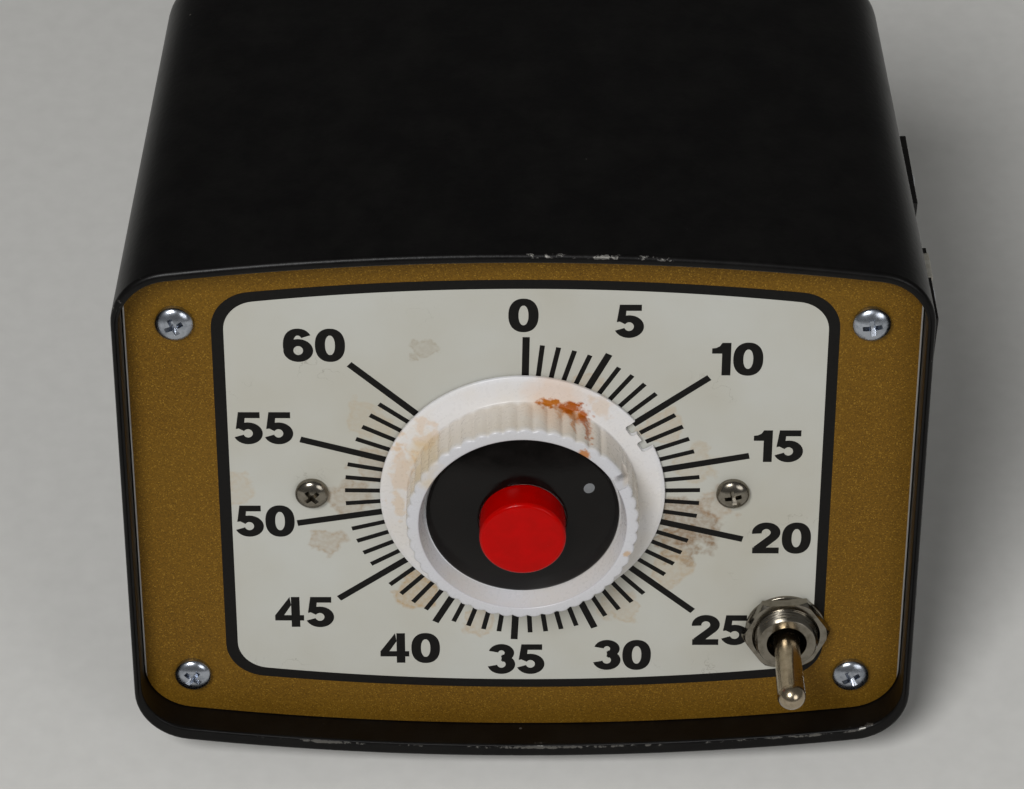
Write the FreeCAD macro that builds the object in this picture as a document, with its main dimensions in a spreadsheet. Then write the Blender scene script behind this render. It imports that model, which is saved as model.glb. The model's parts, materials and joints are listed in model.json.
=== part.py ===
import FreeCAD, Part
import math
import os
import re
import Sketcher
from FreeCAD import Placement, Rotation, Vector

# An enlarger timer: a die-cast case with a leaning face, a timing knob with a start button in its
# centre, a toggle switch, two outlets on the right wall and a synchronous-motor movement inside.
#
# The model's frame has +Z up, +Y towards the back and its origin on the table. Most pieces are drawn
# in the face frame: x right, y up the face, z out of the face, with its origin where the dial's axis
# meets the printed surface. node() puts such a piece in the model by its frame, FACE or FLOOR.

doc = FreeCAD.newDocument("EnlargerTimer")
sheet = doc.addObject("Spreadsheet::Sheet", "Sizes")

SIZES = [
    # placing of the face
    ("face_lean", 13.0, "lean of the face from upright, degrees"),
    ("case_lift", 5.03, "rim's lowest edge above the table"),
    ("dial_forward", 33.76, "dial's centre in front of the model's origin"),
    ("case_left", 1.0, "case's middle plane left of the model's origin"),
    # case
    ("rim_height", 6.5, "rim's front above the printed face"),
    ("case_half_width", 72.6, "half width at the rim"),
    ("case_top", 55.3, "rim's top above the dial's centre, along the face"),
    ("case_bottom", 57.3, "rim's bottom below the dial's centre, along the face"),
    ("case_bow", 500.0, "radius of the bowed top and bottom"),
    ("case_corner", 11.0, "corner radius of the rim"),
    ("back_depth", 95.0, "back wall behind the dial's centre"),
    ("back_half_width", 66.4, "half width at the back"),
    ("back_top", 108.4, "top of the back above the table"),
    ("back_bottom", 7.2, "bottom of the back above the table"),
    ("back_round", 8.0, "rounding of the back's edges"),
    ("case_wall", 2.6, "thickness of the cast walls"),
    ("ledge_width", 1.7, "ledge that carries the face plate"),
    ("post_radius", 5.0, "posts that take the face plate's screws"),
    ("post_length", 20.0, "length of those posts"),
    ("throat_depth", 8.0, "straight throat behind the ledge"),
    ("web_thick", 3.0, "web between a post and the side wall"),
    # face plate
    ("plate_thick", 1.6, "face plate"),
    ("plate_half_width", 70.9, "half width of the face plate"),
    ("plate_top", 53.3, "top of the face plate above the dial's centre"),
    ("plate_bottom", 54.1, "bottom of the face plate below the dial's centre"),
    ("plate_corner", 9.5, "corner radius of the face plate"),
    ("plate_gap", 0.25, "gap between the face plate and the rim"),
    ("corner_screw_side", 9.0, "corner screws inside the plate's sides"),
    ("corner_screw_top", 16.1, "upper screws below the plate's top"),
    ("corner_screw_bottom", 12.1, "lower screws above the plate's bottom"),
    ("movement_screw_out", 0.4, "movement screws outside the movement's sides"),
    ("movement_head_radius", 2.95, "head of the movement screws"),
    ("screw_radius", 1.7, "shank of the face screws"),
    ("screw_head_radius", 3.4, "head of the face screws"),
    ("screw_head_height", 2.1, "height of that head"),
    ("screw_length", 12.0, "length of the corner screws under the head"),
    ("screw_hole_gap", 0.15, "gap round a screw in a through hole"),
    ("thread_gap", 0.03, "gap round a screw in its threaded hole"),
    # feet
    ("foot_height", 6.5, "rubber feet"),
    ("foot_radius", 7.0, "top of a foot"),
    ("foot_bottom_radius", 6.0, "bottom of a foot"),
    ("foot_x", 52.0, "feet left and right of the case's middle"),
    ("foot_front", 2.0, "front feet behind the dial's centre"),
    ("foot_back", 78.0, "back feet behind the dial's centre"),
    ("foot_bore", 3.8, "counterbore for the foot's screw"),
    ("foot_head_gap", 0.6, "gap round that screw's head"),
    ("foot_floor", 3.0, "floor of that counterbore above the table"),
    ("boss_radius", 7.5, "cast bosses over the feet"),
    ("boss_top", 10.8, "top of those bosses above the table"),
    ("foot_screw_radius", 1.6, "shank of a foot's screw"),
    ("foot_screw_length", 7.3, "length of that shank"),
    # knob
    ("skirt_radius", 26.0, "edge of the knob's skirt"),
    ("skirt_lift", 0.3, "underside of the skirt above the face"),
    ("skirt_bevel", 0.8, "bevel round the skirt"),
    ("skirt_slope", 0.3, "rise of the skirt towards the grip"),
    ("skirt_thick", 0.9, "thickness of the skirt at its edge"),
    ("grip_radius", 21.1, "outside of the fluted grip"),
    ("grip_top", 10.4, "rim of the grip above the face"),
    ("grip_bevel", 0.5, "bevel of that rim"),
    ("grip_bore", 18.8, "mouth of the grip's recess"),
    ("grip_floor_radius", 17.8, "floor of that recess"),
    ("grip_floor", 6.2, "floor of the recess above the face"),
    ("knob_floor_thick", 1.6, "web under the recess"),
    ("knob_wall", 2.0, "wall under the grip"),
    ("knob_hub_radius", 6.5, "hub on the shaft"),
    ("knob_hub_bottom", 3.2, "underside of the hub above the face"),
    ("flute_count", 48, "flutes round the grip"),
    ("flute_radius", 1.46, "radius of a flute's hollow"),
    ("flute_depth", 0.35, "depth of a flute"),
    ("pointer_angle", 61.2, "pointer clockwise from the top, degrees, as stored"),
    ("pointer_lag", 3.0, "pointer's tooth anticlockwise of the slot, degrees"),
    ("pointer_slot", 3.1, "width of the slot through the grip"),
    ("pointer_notch", 2.4, "width of a notch beside the pointer"),
    ("pointer_tooth", 1.7, "width of the pointer's root"),
    ("pointer_depth", 2.4, "depth of those notches"),
    # disc and button
    ("disc_gap", 0.3, "gap between the disc and the grip"),
    ("disc_edge", 0.6, "thickness of the disc's edge"),
    ("disc_rise", 2.4, "rise of its dome"),
    ("button_radius", 7.8, "start button"),
    ("button_top", 14.9, "top of the button above the face"),
    ("button_floor_gap", 0.2, "pressed button above the floor of the recess"),
    ("button_round", 0.7, "rounded edge of the button"),
    ("button_gap", 0.3, "gap round the button"),
    ("button_travel", 2.0, "how far the button is pressed"),
    ("button_roof", 1.8, "thickness of the button's top"),
    ("spring_radius", 3.9, "outside of the button's spring"),
    ("spring_wire", 0.6, "wire of that spring"),
    ("spring_turns", 4.0, "turns of that spring"),
    # shafts
    ("rod_radius", 1.6, "push rod"),
    ("rod_socket", 0.9, "push rod in the button's top"),
    ("rod_end", 41.0, "end of the push rod behind the face"),
    ("shaft_radius", 3.175, "set shaft"),
    ("run_gap", 0.05, "running gap round a shaft"),
    ("bushing_radius", 4.7, "threaded barrel of the shaft's bushing"),
    ("bushing_front", 2.7, "front of the bushing above the face"),
    ("bushing_flange_radius", 7.5, "flange behind the face plate"),
    ("bushing_flange", 2.0, "thickness of that flange"),
    ("bushing_nut_flat", 12.7, "bushing's nut across its flats"),
    ("bushing_nut_thick", 2.0, "thickness of that nut"),
    # movement
    ("front_plate_depth", 12.0, "front plate of the movement behind the face"),
    ("movement_plate", 1.5, "thickness of the movement's plates"),
    ("rear_plate_depth", 34.0, "rear plate behind the face"),
    ("movement_side", 32.9, "movement's sides inside the face plate's sides"),
    ("movement_half_height", 36.0, "half height of the movement's plates"),
    ("rear_plate_left", 54.5, "rear plate's reach to the left"),
    ("ear_half_height", 7.0, "half height of the front plate's ears"),
    ("ear_reach", 4.6, "ear beyond the movement screw"),
    ("pillar_side", 5.0, "pillars inside the movement's sides"),
    ("pillar_y", 31.0, "pillars above and below it"),
    ("pillar_radius", 3.0, "pillars"),
    ("pillar_screw_radius", 1.5, "shank of the pillars' screws"),
    ("pillar_screw_length", 8.0, "length of those shanks"),
    ("spacer_radius", 3.6, "spacers behind the face plate"),
    # set arm, trip dog and timing wheel
    ("set_arm_gap", 0.9, "front plate to set arm"),
    ("set_arm_thick", 1.2, "set arm"),
    ("set_arm_hub", 8.0, "round middle of the set arm"),
    ("arm_reach", 20.4, "reach of the set arm and the trip dog"),
    ("arm_width", 3.0, "width of both arms"),
    ("stop_tab", 1.6, "radial size of the tab and the dog's finger"),
    ("stop_tab_length", 3.6, "length of the set arm's tab"),
    ("dog_home", -10.0, "trip dog at home, clockwise from the top, degrees"),
    ("dog_depth", 17.2, "front of the trip dog behind the face"),
    ("wheel_depth", 20.0, "front of the timing wheel behind the face"),
    ("wheel_thick", 2.0, "thickness of the gears"),
    ("arbor_radius", 2.9, "timing arbor"),
    ("arbor_gap", 0.6, "set shaft to timing arbor"),
    ("arbor_tail", 1.5, "timing arbor behind the rear plate"),
    ("hub_radius", 5.0, "hub of the timing wheel"),
    ("hub_length", 4.0, "length of that hub"),
    ("wheel_teeth", 40, "timing wheel"),
    ("idler_pinion_teeth", 26, "idler's pinion"),
    ("drive_module", 0.8, "module of that pair"),
    ("idler_teeth", 54, "idler's wheel"),
    ("motor_pinion_teeth", 18, "motor's pinion"),
    ("input_module", 0.6, "module of that pair"),
    ("idler_angle", 160.0, "idler round the dial's axis, degrees"),
    ("motor_angle", 250.0, "motor round the idler, degrees"),
    ("idler_wheel_gap", 2.5, "timing wheel to the idler's wheel"),
    ("pinion_extra", 0.4, "pinions reach past their wheels"),
    ("backlash", 0.16, "play in the teeth"),
    ("idler_arbor_radius", 1.5, "idler's arbor"),
    ("spiral_gap", 2.0, "timing wheel's hub to the reset spring"),
    ("spiral_rear_gap", 2.0, "reset spring to the rear plate"),
    ("spiral_strip", 0.3, "thickness of that strip"),
    ("spiral_outer", 9.0, "outer radius of the reset spring"),
    ("spiral_turns", 4.0, "turns of the reset spring"),
    ("post_pin_radius", 1.2, "post that holds the reset spring"),
    # motor
    ("motor_radius", 20.0, "motor's can"),
    ("motor_length", 20.0, "length of the can"),
    ("motor_wall", 1.0, "wall of the can"),
    ("gearbox_radius", 14.0, "motor's gearbox"),
    ("gearbox_length", 8.0, "length of that gearbox"),
    ("motor_shaft_radius", 1.5, "motor's output shaft"),
    ("motor_ear", 18.0, "motor's fixing holes from its axis"),
    ("motor_flange", 1.2, "motor's fixing plate"),
    ("motor_ear_margin", 1.5, "fixing plate round a screw's head"),
    ("motor_shaft_gap", 0.5, "gap round the motor's shaft in the rear plate"),
    ("rotor_tail", 2.0, "rotor's shaft in the gearbox"),
    ("rotor_radius", 9.0, "rotor"),
    ("coil_radius", 18.4, "coil"),
    ("inner_gap", 0.5, "gaps inside the motor"),
    # switches
    ("switch_length", 20.0, "snap switch"),
    ("switch_height", 10.2, "height of the switch"),
    ("switch_thick", 6.4, "thickness of the switch"),
    ("switch_back", 3.0, "switch behind the lever's pivot"),
    ("switch_hole_inset", 1.0, "switch's end to its first screw"),
    ("switch_hole_pitch", 10.0, "switch's screws apart"),
    ("switch_ear", 1.2, "ears that hold the lever's pin"),
    ("switch_tab_inset", 1.5, "outer tabs in from the switch's ends"),
    ("lever_pivot", 1.1, "lever's pivot above the switch"),
    ("lever_length", 11.0, "length of the lever"),
    ("lever_thick", 0.8, "thickness of the lever"),
    ("lever_width", 4.2, "width of the lever"),
    ("lever_eye", 0.95, "eye of the lever round its pin"),
    ("lever_side_gap", 0.3, "gap beside the lever"),
    ("lever_angle", 16.0, "lever at rest, degrees"),
    ("lever_arm", 8.0, "push rod from the lever's pivot"),
    ("plunger_arm", 4.0, "plunger from the lever's pivot"),
    ("plunger_radius", 1.0, "plunger of the switch"),
    ("plunger_gap", 0.2, "plunger under the lever"),
    ("press_gap", 0.25, "push rod above the lever"),
    ("pin_radius", 0.5, "lever's pin"),
    ("trip_gap", 0.5, "trip dog to the trip lever"),
    ("bracket_thick", 1.6, "bracket of the start switch"),
    ("bracket_foot", 9.0, "foot of the bracket on the rear plate"),
    # toggle switch
    ("toggle_side", 21.7, "toggle inside the face plate's right side"),
    ("toggle_y", 31.2, "toggle below the dial's centre"),
    ("toggle_radius", 5.85, "toggle's bushing"),
    ("toggle_front", 5.1, "front of that bushing above the face"),
    ("toggle_bore", 3.6, "bore of the bushing"),
    ("toggle_nut_flat", 14.3, "toggle's nut across its flats"),
    ("toggle_nut_thick", 2.0, "thickness of the nut"),
    ("toggle_nut_turn", 4.0, "corner of the nut left of straight up, degrees"),
    ("toggle_bevel", 0.5, "bevel of the bushing's front"),
    ("washer_radius", 7.5, "lock washer"),
    ("washer_thick", 0.7, "thickness of the washer"),
    ("toggle_tip", 22.9, "end of the lever above the face"),
    ("toggle_tip_radius", 2.45, "lever's end"),
    ("toggle_neck_radius", 2.15, "lever at the bushing"),
    ("toggle_ball", 3.3, "ball that the lever turns on"),
    ("toggle_tail", 6.5, "lever behind its pivot"),
    ("toggle_pin_radius", 0.8, "cross pin that the lever turns on"),
    ("toggle_pin_reach", 1.1, "that pin in the bushing's wall"),
    ("toggle_body_x", 14.0, "toggle body across"),
    ("toggle_body_y", 27.0, "toggle body along the throw"),
    ("toggle_body_depth", 17.0, "toggle body behind the face plate"),
    ("toggle_shell", 2.6, "walls of the toggle body"),
    ("lug_length", 7.0, "solder lugs"),
    ("lug_width", 3.6, "width of a lug"),
    ("lug_thick", 0.8, "thickness of a lug"),
    ("lug_pitch", 8.0, "lugs apart"),
    # outlets
    ("outlet_flange_width", 18.0, "outlet's flange, front to back"),
    ("outlet_flange_height", 42.0, "outlet's flange, top to bottom"),
    ("outlet_flange_thick", 2.4, "thickness of that flange"),
    ("outlet_body_width", 14.0, "outlet's body, front to back"),
    ("outlet_body_height", 25.0, "outlet's body, top to bottom"),
    ("outlet_body_depth", 16.0, "outlet's body behind its flange"),
    ("outlet_gap", 0.3, "gap round the outlet's body"),
    ("outlet_up", 11.4, "outlets' centre above the dial's centre"),
    ("outlet_front", 21.6, "front outlet behind the dial's centre"),
    ("outlet_back", 51.0, "back outlet behind the dial's centre"),
    ("outlet_seat", 0.12, "outlet's flange off the cast wall"),
    ("slot_length", 7.6, "blade slots"),
    ("slot_width", 2.0, "width of a slot"),
    ("slot_pitch", 12.7, "slots apart"),
    ("slot_depth", 13.0, "depth of a slot"),
    ("contact_thick", 0.5, "contact springs in the slots"),
    ("outlet_screw_pitch", 34.0, "outlet's screws apart"),
    ("outlet_screw_radius", 1.5, "outlet's screws"),
    ("tape_thick", 0.25, "paper tape mark"),
    ("tape_width", 6.0, "width of the tape mark"),
    ("tape_back", 1.6, "tape behind the flange's front edge"),
    # back
    ("grommet_bore", 3.5, "bore for the supply cord"),
    ("grommet_neck", 5.5, "neck of the grommet"),
    ("grommet_flange", 8.0, "flanges of the grommet"),
    ("grommet_flange_thick", 1.9, "thickness of those flanges"),
    ("grommet_bevel", 0.8, "bevel of those flanges"),
    ("grommet_x", 40.0, "grommet left of the case's middle"),
    ("grommet_height", 26.0, "grommet above the table"),
    ("strip_length", 48.0, "terminal strip"),
    ("strip_height", 14.0, "height of the strip"),
    ("strip_depth", 7.0, "depth of the strip"),
    ("strip_up", 24.0, "bottom of the strip above the table"),
    ("strip_gap", 12.0, "grommet to the strip"),
    ("terminal_count", 4, "terminals on the strip"),
    ("terminal_size", 6.4, "side of a terminal plate"),
    ("terminal_thick", 1.0, "thickness of a terminal plate"),
    ("small_screw_radius", 1.2, "small screws of the movement and the switches"),
    ("small_head_radius", 2.3, "their heads"),
    ("small_head_height", 1.4, "height of those heads"),
]

for row, (alias, value, note) in enumerate(SIZES, start=1):
    sheet.set("A%d" % row, note)
    sheet.set("B%d" % row, str(value))
    sheet.setAlias("B%d" % row, alias)
doc.recompute()
ALIASES = {alias for alias, value, note in SIZES}

# Heights and places that follow from several sizes.
DIAL_HEIGHT = "(case_lift + case_bottom * cos(face_lean) - rim_height * sin(face_lean))"
SCREW_X = "(plate_half_width - corner_screw_side)"
MOVEMENT_X = "(plate_half_width - movement_side)"
MOVEMENT_SCREW_X = "(plate_half_width - movement_side + movement_screw_out)"
PILLAR_X = "(plate_half_width - movement_side - pillar_side)"
TOGGLE_X = "(plate_half_width - toggle_side)"
SCREW_UP = "(plate_top - corner_screw_top)"
SCREW_DOWN = "(plate_bottom - corner_screw_bottom)"
BUTTON_BOTTOM = "(grip_floor + button_floor_gap + button_travel)"
SPRING_LENGTH = "(button_top - button_roof - grip_floor - button_travel - button_gap)"


def size(formula):
    """The value of an alias, or of a formula of aliases, read from the sheet."""
    return float(sheet.evalExpression(formula))


def bind(thing, path, formula):
    """Binds a property to a formula written with bare aliases."""
    words = re.split(r"(\w+)", formula)
    thing.setExpression(path, "".join("Sizes." + word if word in ALIASES else word for word in words))


# ---------------------------------------------------------------- primitives, bound to the sheet

def place(thing, x, y, z):
    """Puts a primitive at three formulas."""
    bind(thing, "Placement.Base.x", x)
    bind(thing, "Placement.Base.y", y)
    bind(thing, "Placement.Base.z", z)
    return thing


def rod(radius, bottom, top, x="0", y="0"):
    """An upright cylinder."""
    thing = doc.addObject("Part::Cylinder", "Rod")
    bind(thing, "Radius", radius)
    bind(thing, "Height", "(%s) - (%s)" % (top, bottom))
    return place(thing, x, y, bottom)


def cone(low_radius, high_radius, bottom, top, x="0", y="0"):
    """An upright cone without its tip."""
    thing = doc.addObject("Part::Cone", "Cone")
    bind(thing, "Radius1", low_radius)
    bind(thing, "Radius2", high_radius)
    bind(thing, "Height", "(%s) - (%s)" % (top, bottom))
    return place(thing, x, y, bottom)


def ball(radius, x, y, z):
    """A whole sphere."""
    thing = doc.addObject("Part::Sphere", "Ball")
    bind(thing, "Radius", radius)
    return place(thing, x, y, z)


def block(left, right, low, high, bottom, top):
    """A box between six planes."""
    thing = doc.addObject("Part::Box", "Block")
    bind(thing, "Length", "(%s) - (%s)" % (right, left))
    bind(thing, "Width", "(%s) - (%s)" % (high, low))
    bind(thing, "Height", "(%s) - (%s)" % (top, bottom))
    return place(thing, left, low, bottom)


def hexagon(flats, bottom, top, turn="0"):
    """A six-sided prism about Z with a given width across its flats, turned by degrees."""
    thing = doc.addObject("Part::Prism", "Hexagon")
    thing.Polygon = 6
    thing.Placement = Placement(Vector(), Rotation(Vector(0, 0, 1), size(turn)))
    bind(thing, "Circumradius", "(%s) / 2 / cos(30)" % flats)
    bind(thing, "Height", "(%s) - (%s)" % (top, bottom))
    return place(thing, "0", "0", bottom)


def fuse(*things):
    """One solid of several."""
    if len(things) == 1:
        return things[0]
    thing = doc.addObject("Part::MultiFuse", "Fuse")
    thing.Shapes = list(things)
    return thing


def cut(base, *tools):
    """A piece with others taken out of it."""
    thing = doc.addObject("Part::Cut", "Cut")
    thing.Base = base
    thing.Tool = fuse(*tools)
    return thing


def common(first, second):
    """What two pieces share."""
    thing = doc.addObject("Part::MultiCommon", "Common")
    thing.Shapes = [first, second]
    return thing


def tube(outer, inner, bottom, top, x="0", y="0"):
    """A cylinder with a hole right through it."""
    return cut(rod(outer, bottom, top, x, y), rod(inner, "(%s) - 1" % bottom, "(%s) + 1" % top, x, y))


def shaped(shape, name="Shaped"):
    """A piece whose shape is worked out here from the sheet's sizes."""
    thing = doc.addObject("Part::Feature", name)
    thing.Shape = shape
    return thing


def turned(name, outline):
    """A body turned about Z: a closed outline of (radius, height) formulas, drawn and constrained
    in a sketch on the body's XZ plane."""
    body = doc.addObject("PartDesign::Body", name)
    sketch = body.newObject("Sketcher::SketchObject", name + "Outline")
    plane = [item for item in body.Origin.OriginFeatures if item.Role == "XZ_Plane"][0]
    sketch.AttachmentSupport = [(plane, "")]
    sketch.MapMode = "FlatFace"
    corners = [Vector(size(radius), size(height), 0) for radius, height in outline]
    for start, end in zip(corners, corners[1:] + corners[:1]):
        sketch.addGeometry(Part.LineSegment(start, end), False)
    for line in range(len(corners)):
        after = (line + 1) % len(corners)
        sketch.addConstraint(Sketcher.Constraint("Coincident", line, 2, after, 1))
    for line, (radius, height) in enumerate(outline):
        for kind, formula, value in (("DistanceX", radius, corners[line].x),
                                     ("DistanceY", height, corners[line].y)):
            if formula == "0":
                axis = -2 if kind == "DistanceX" else -1
                sketch.addConstraint(Sketcher.Constraint("PointOnObject", line, 1, axis))
                continue
            index = sketch.addConstraint(Sketcher.Constraint(kind, -1, 1, line, 1, value))
            bind(sketch, "Constraints[%d]" % index, formula)
    doc.recompute()
    turn = body.newObject("PartDesign::Revolution", name + "Turn")
    turn.Profile = sketch
    turn.ReferenceAxis = (sketch, ["V_Axis"])
    turn.Angle = 360.0
    doc.recompute()
    return body


def screw(radius, length, head_radius, head_height, x="0", y="0", seat="0"):
    """A pan-head screw whose head stands on a height and whose shank goes down from there."""
    brim = "(%s) + (%s) * 0.55" % (seat, head_height)
    crown = "(%s) + (%s)" % (seat, head_height)
    return fuse(rod(radius, "(%s) - (%s)" % (seat, length), seat, x, y),
                rod(head_radius, seat, brim, x, y),
                cone(head_radius, "(%s) * 0.7" % head_radius, brim, crown, x, y))


# ---------------------------------------------------------------- frames

TURN = Vector(0, 0, 1)
FLOOR = Placement(Vector(-size("case_left"), -size("dial_forward"), 0), Rotation())
FACE = FLOOR.multiply(Placement(Vector(0, 0, size(DIAL_HEIGHT)),
                                Rotation(Vector(1, 0, 0), 90 - size("face_lean"))))
NODES = []


def node(label, frame, *things):
    """Gathers the pieces of one sub-part under its name and puts it in the model."""
    group = doc.addObject("Part::Compound", label.title().replace("_", ""))
    group.Links = list(things)
    group.Label = label
    group.Placement = frame
    NODES.append(group)
    return group


# ---------------------------------------------------------------- case and face plate

def bowed(half_width, top, bottom, corner, height):
    """A closed outline with straight sides, bowed top and bottom and rounded corners, centred on
    x = 0 in the plane of one height."""
    bow = size("case_bow")
    across = half_width - corner
    drop = bow - math.sqrt((bow - corner) ** 2 - across ** 2)
    swing = math.atan2(across, bow - drop)
    upper, lower = top - drop, -bottom + drop
    edges = []

    def arc(centre_x, centre_y, radius, start, end):
        points = [Vector(centre_x + radius * math.cos(angle), centre_y + radius * math.sin(angle), height)
                  for angle in (start, (start + end) / 2, end)]
        edges.append(Part.Arc(*points).toShape())

    quarter = math.pi / 2
    arc(0, top - bow, bow, quarter + swing, quarter - swing)
    arc(across, upper, corner, quarter - swing, 0)
    edges.append(Part.LineSegment(Vector(half_width, upper, height),
                                  Vector(half_width, lower, height)).toShape())
    arc(across, lower, corner, 0, swing - quarter)
    arc(0, bow - bottom, bow, swing - quarter, -quarter - swing)
    arc(-across, lower, corner, -quarter - swing, -2 * quarter)
    edges.append(Part.LineSegment(Vector(-half_width, lower, height),
                                  Vector(-half_width, upper, height)).toShape())
    arc(-across, upper, corner, 2 * quarter, quarter + swing)
    return Part.Wire(edges)


def slab(half_width, top, bottom, corner, low, high):
    """A bowed outline made solid between two heights."""
    return Part.Face(bowed(half_width, top, bottom, corner, low)).extrude(Vector(0, 0, high - low))


lean = math.radians(size("face_lean"))


def in_face(behind, above):
    """Height over the face and distance up the face of a point given behind and above the dial's
    centre."""
    up = behind * math.sin(lean) + above * math.cos(lean)
    out = -behind * math.cos(lean) + above * math.sin(lean)
    return out, up


rim = size("rim_height")
wall = size("case_wall")
top_out, top_up = in_face(size("back_depth"), size("back_top") - size(DIAL_HEIGHT))
low_out, low_up = in_face(size("back_depth"), size("back_bottom") - size(DIAL_HEIGHT))
deep = low_out - 4 * wall
top_slope = (top_up - size("case_top")) / (rim - top_out)
low_slope = (low_up + size("case_bottom")) / (rim - low_out)
side_slope = (size("case_half_width") - size("back_half_width")) / (rim - (top_out + low_out) / 2)
side_angle = math.atan(side_slope)


def hull(inset, front, corner):
    """The tapered body of the case between a height over the face and a plane behind its back."""
    def outline(height):
        depth = rim - height
        return bowed(size("case_half_width") - side_slope * depth - inset,
                     size("case_top") + top_slope * depth - inset,
                     size("case_bottom") - low_slope * depth - inset, corner, height)
    return Part.makeLoft([outline(front), outline(deep)], True, True)


def back_cut(shape, inset, rounding):
    """The hull ended by the upright back wall, with rounded back edges."""
    reach = 4 * size("back_depth")
    far = Part.makeBox(2 * reach, reach, 2 * reach,
                       Vector(-reach, size("back_depth") - inset, -reach - size(DIAL_HEIGHT)))
    far.Placement = Placement(Vector(), Rotation(Vector(1, 0, 0), size("face_lean") - 90)).multiply(
        far.Placement)
    ended = shape.cut(far)
    edges = []
    for face in ended.Faces:
        outward = face.normalAt(0.5, 0.5)
        upright = Vector(0, math.sin(lean), -math.cos(lean))
        flat = isinstance(face.Surface, Part.Plane)
        if flat and outward.dot(upright) > 0.999:
            edges = face.Edges
    return ended.makeFillet(rounding, edges)


outer = back_cut(hull(0, rim, size("case_corner")), 0, size("back_round"))
cavity = back_cut(hull(wall, -size("plate_thick"), size("case_corner") - wall), wall,
                  size("back_round") - wall)
recess = slab(size("plate_half_width + plate_gap"), size("plate_top + plate_gap"),
              size("plate_bottom + plate_gap"), size("plate_corner + plate_gap"),
              -size("plate_thick"), rim + 1)
throat = slab(size("plate_half_width - ledge_width"), size("plate_top - ledge_width"),
              size("plate_bottom - ledge_width"), size("plate_corner - ledge_width"),
              -size("plate_thick + throat_depth"), -size("plate_thick"))
POSTS = [(side, height) for side in (SCREW_X, "-" + SCREW_X) for height in (SCREW_UP, "-" + SCREW_DOWN)]


def face_post(across, up):
    """One screw post with the web that ties it to the side wall."""
    side = 1 if size(across) > 0 else -1
    post = Part.makeCylinder(size("post_radius"), size("post_length"),
                             Vector(size(across), size(up), -size("plate_thick + post_length")))
    web = Part.makeBox(size("case_half_width") - size(SCREW_X), size("web_thick"),
                       size("post_length"),
                       Vector(min(size(across), side * size("case_half_width")),
                              size(up) - size("web_thick") / 2, -size("plate_thick + post_length")))
    return post.fuse(web)


def foot_places():
    """The feet, left and right of the case's middle and behind the dial's centre."""
    return [(side, depth) for side in ("foot_x", "-foot_x") for depth in ("foot_front", "foot_back")]


def to_face(shape):
    """A shape given behind the dial's centre and above the table, moved to the face frame."""
    copy = shape.copy()
    copy.Placement = FACE.inverse().multiply(FLOOR).multiply(copy.Placement)
    return copy


bosses = [to_face(Part.makeCylinder(size("boss_radius"), size("boss_top - foot_height"),
                                    Vector(size(across), size(behind), size("foot_height"))))
          for across, behind in foot_places()]
hollow = cavity.fuse(throat).cut(Part.Compound([face_post(across, up) for across, up in POSTS] + bosses))
casting = outer.fuse(bosses).cut(hollow).cut(recess)
screw_bores = [Part.makeCylinder(size("screw_radius + thread_gap"), size("screw_length + 2"),
                                 Vector(size(across), size(up), -size("screw_length + 2")))
               for across, up in POSTS]
foot_bores = [to_face(Part.makeCylinder(size("foot_screw_radius + thread_gap"), size("foot_screw_length"),
                                        Vector(size(across), size(behind), size("foot_height") - 1)))
              for across, behind in foot_places()]


def outlet_frame(behind):
    """The outside of the right wall at an outlet: x towards the front, y up and z out of it."""
    out, up = in_face(size(behind), size("outlet_up"))
    across = size("case_half_width") - side_slope * (rim - out)
    outward = Vector(math.cos(side_angle), 0, -math.sin(side_angle))
    vertical = Vector(0, math.cos(lean), math.sin(lean))
    upward = (vertical - outward * vertical.dot(outward)).normalize()
    forward = upward.cross(outward)
    return Placement(Vector(across, up, out), Rotation(forward, upward, outward, "ZYX"))


def outlet_bore(behind):
    """The window in the wall for one outlet's body, and its two screw holes."""
    width = size("outlet_body_width + 2 * outlet_gap")
    height = size("outlet_body_height + 2 * outlet_gap")
    window = Part.makeBox(width, height, 4 * wall, Vector(-width / 2, -height / 2, -2 * wall))
    holes = [Part.makeCylinder(size("outlet_screw_radius + thread_gap"), 4 * wall,
                               Vector(0, side * size("outlet_screw_pitch") / 2, -2 * wall))
             for side in (1, -1)]
    bore = window.fuse(holes)
    bore.Placement = outlet_frame(behind)
    return bore


grommet_bore = to_face(Part.makeCylinder(size("grommet_neck"), 4 * wall,
                                         Vector(-size("grommet_x"), size("back_depth") - 2 * wall,
                                                size("grommet_height")), Vector(0, 1, 0)))
casting = casting.cut(screw_bores + foot_bores + [outlet_bore("outlet_front"), outlet_bore("outlet_back"),
                                                  grommet_bore])
node("case_shell", FACE, shaped(casting, "Casting"))

plate = shaped(slab(size("plate_half_width"), size("plate_top"), size("plate_bottom"),
                    size("plate_corner"), -size("plate_thick"), 0), "Plate")
plate_holes = [rod("screw_radius + screw_hole_gap", "-plate_thick - 1", "1", across, up)
               for across, up in POSTS]
plate_holes += [rod("screw_radius + screw_hole_gap", "-plate_thick - 1", "1", across)
                for across in (MOVEMENT_SCREW_X, "-" + MOVEMENT_SCREW_X)]
plate_holes.append(rod("bushing_radius + screw_hole_gap", "-plate_thick - 1", "1"))
plate_holes.append(rod("toggle_radius + screw_hole_gap", "-plate_thick - 1", "1", TOGGLE_X, "-toggle_y"))
node("face_plate", FACE, cut(plate, *plate_holes))
node("panel_screws", FACE, *[screw("screw_radius", "screw_length", "screw_head_radius",
                                   "screw_head_height", across, up) for across, up in POSTS])

# ---------------------------------------------------------------- feet

foot = turned("Foot", [("foot_screw_radius + screw_hole_gap", "foot_floor"), ("foot_bore", "foot_floor"),
                       ("foot_bore", "0"), ("foot_bottom_radius", "0"), ("foot_radius", "foot_height"),
                       ("foot_screw_radius + screw_hole_gap", "foot_height")])


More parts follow.
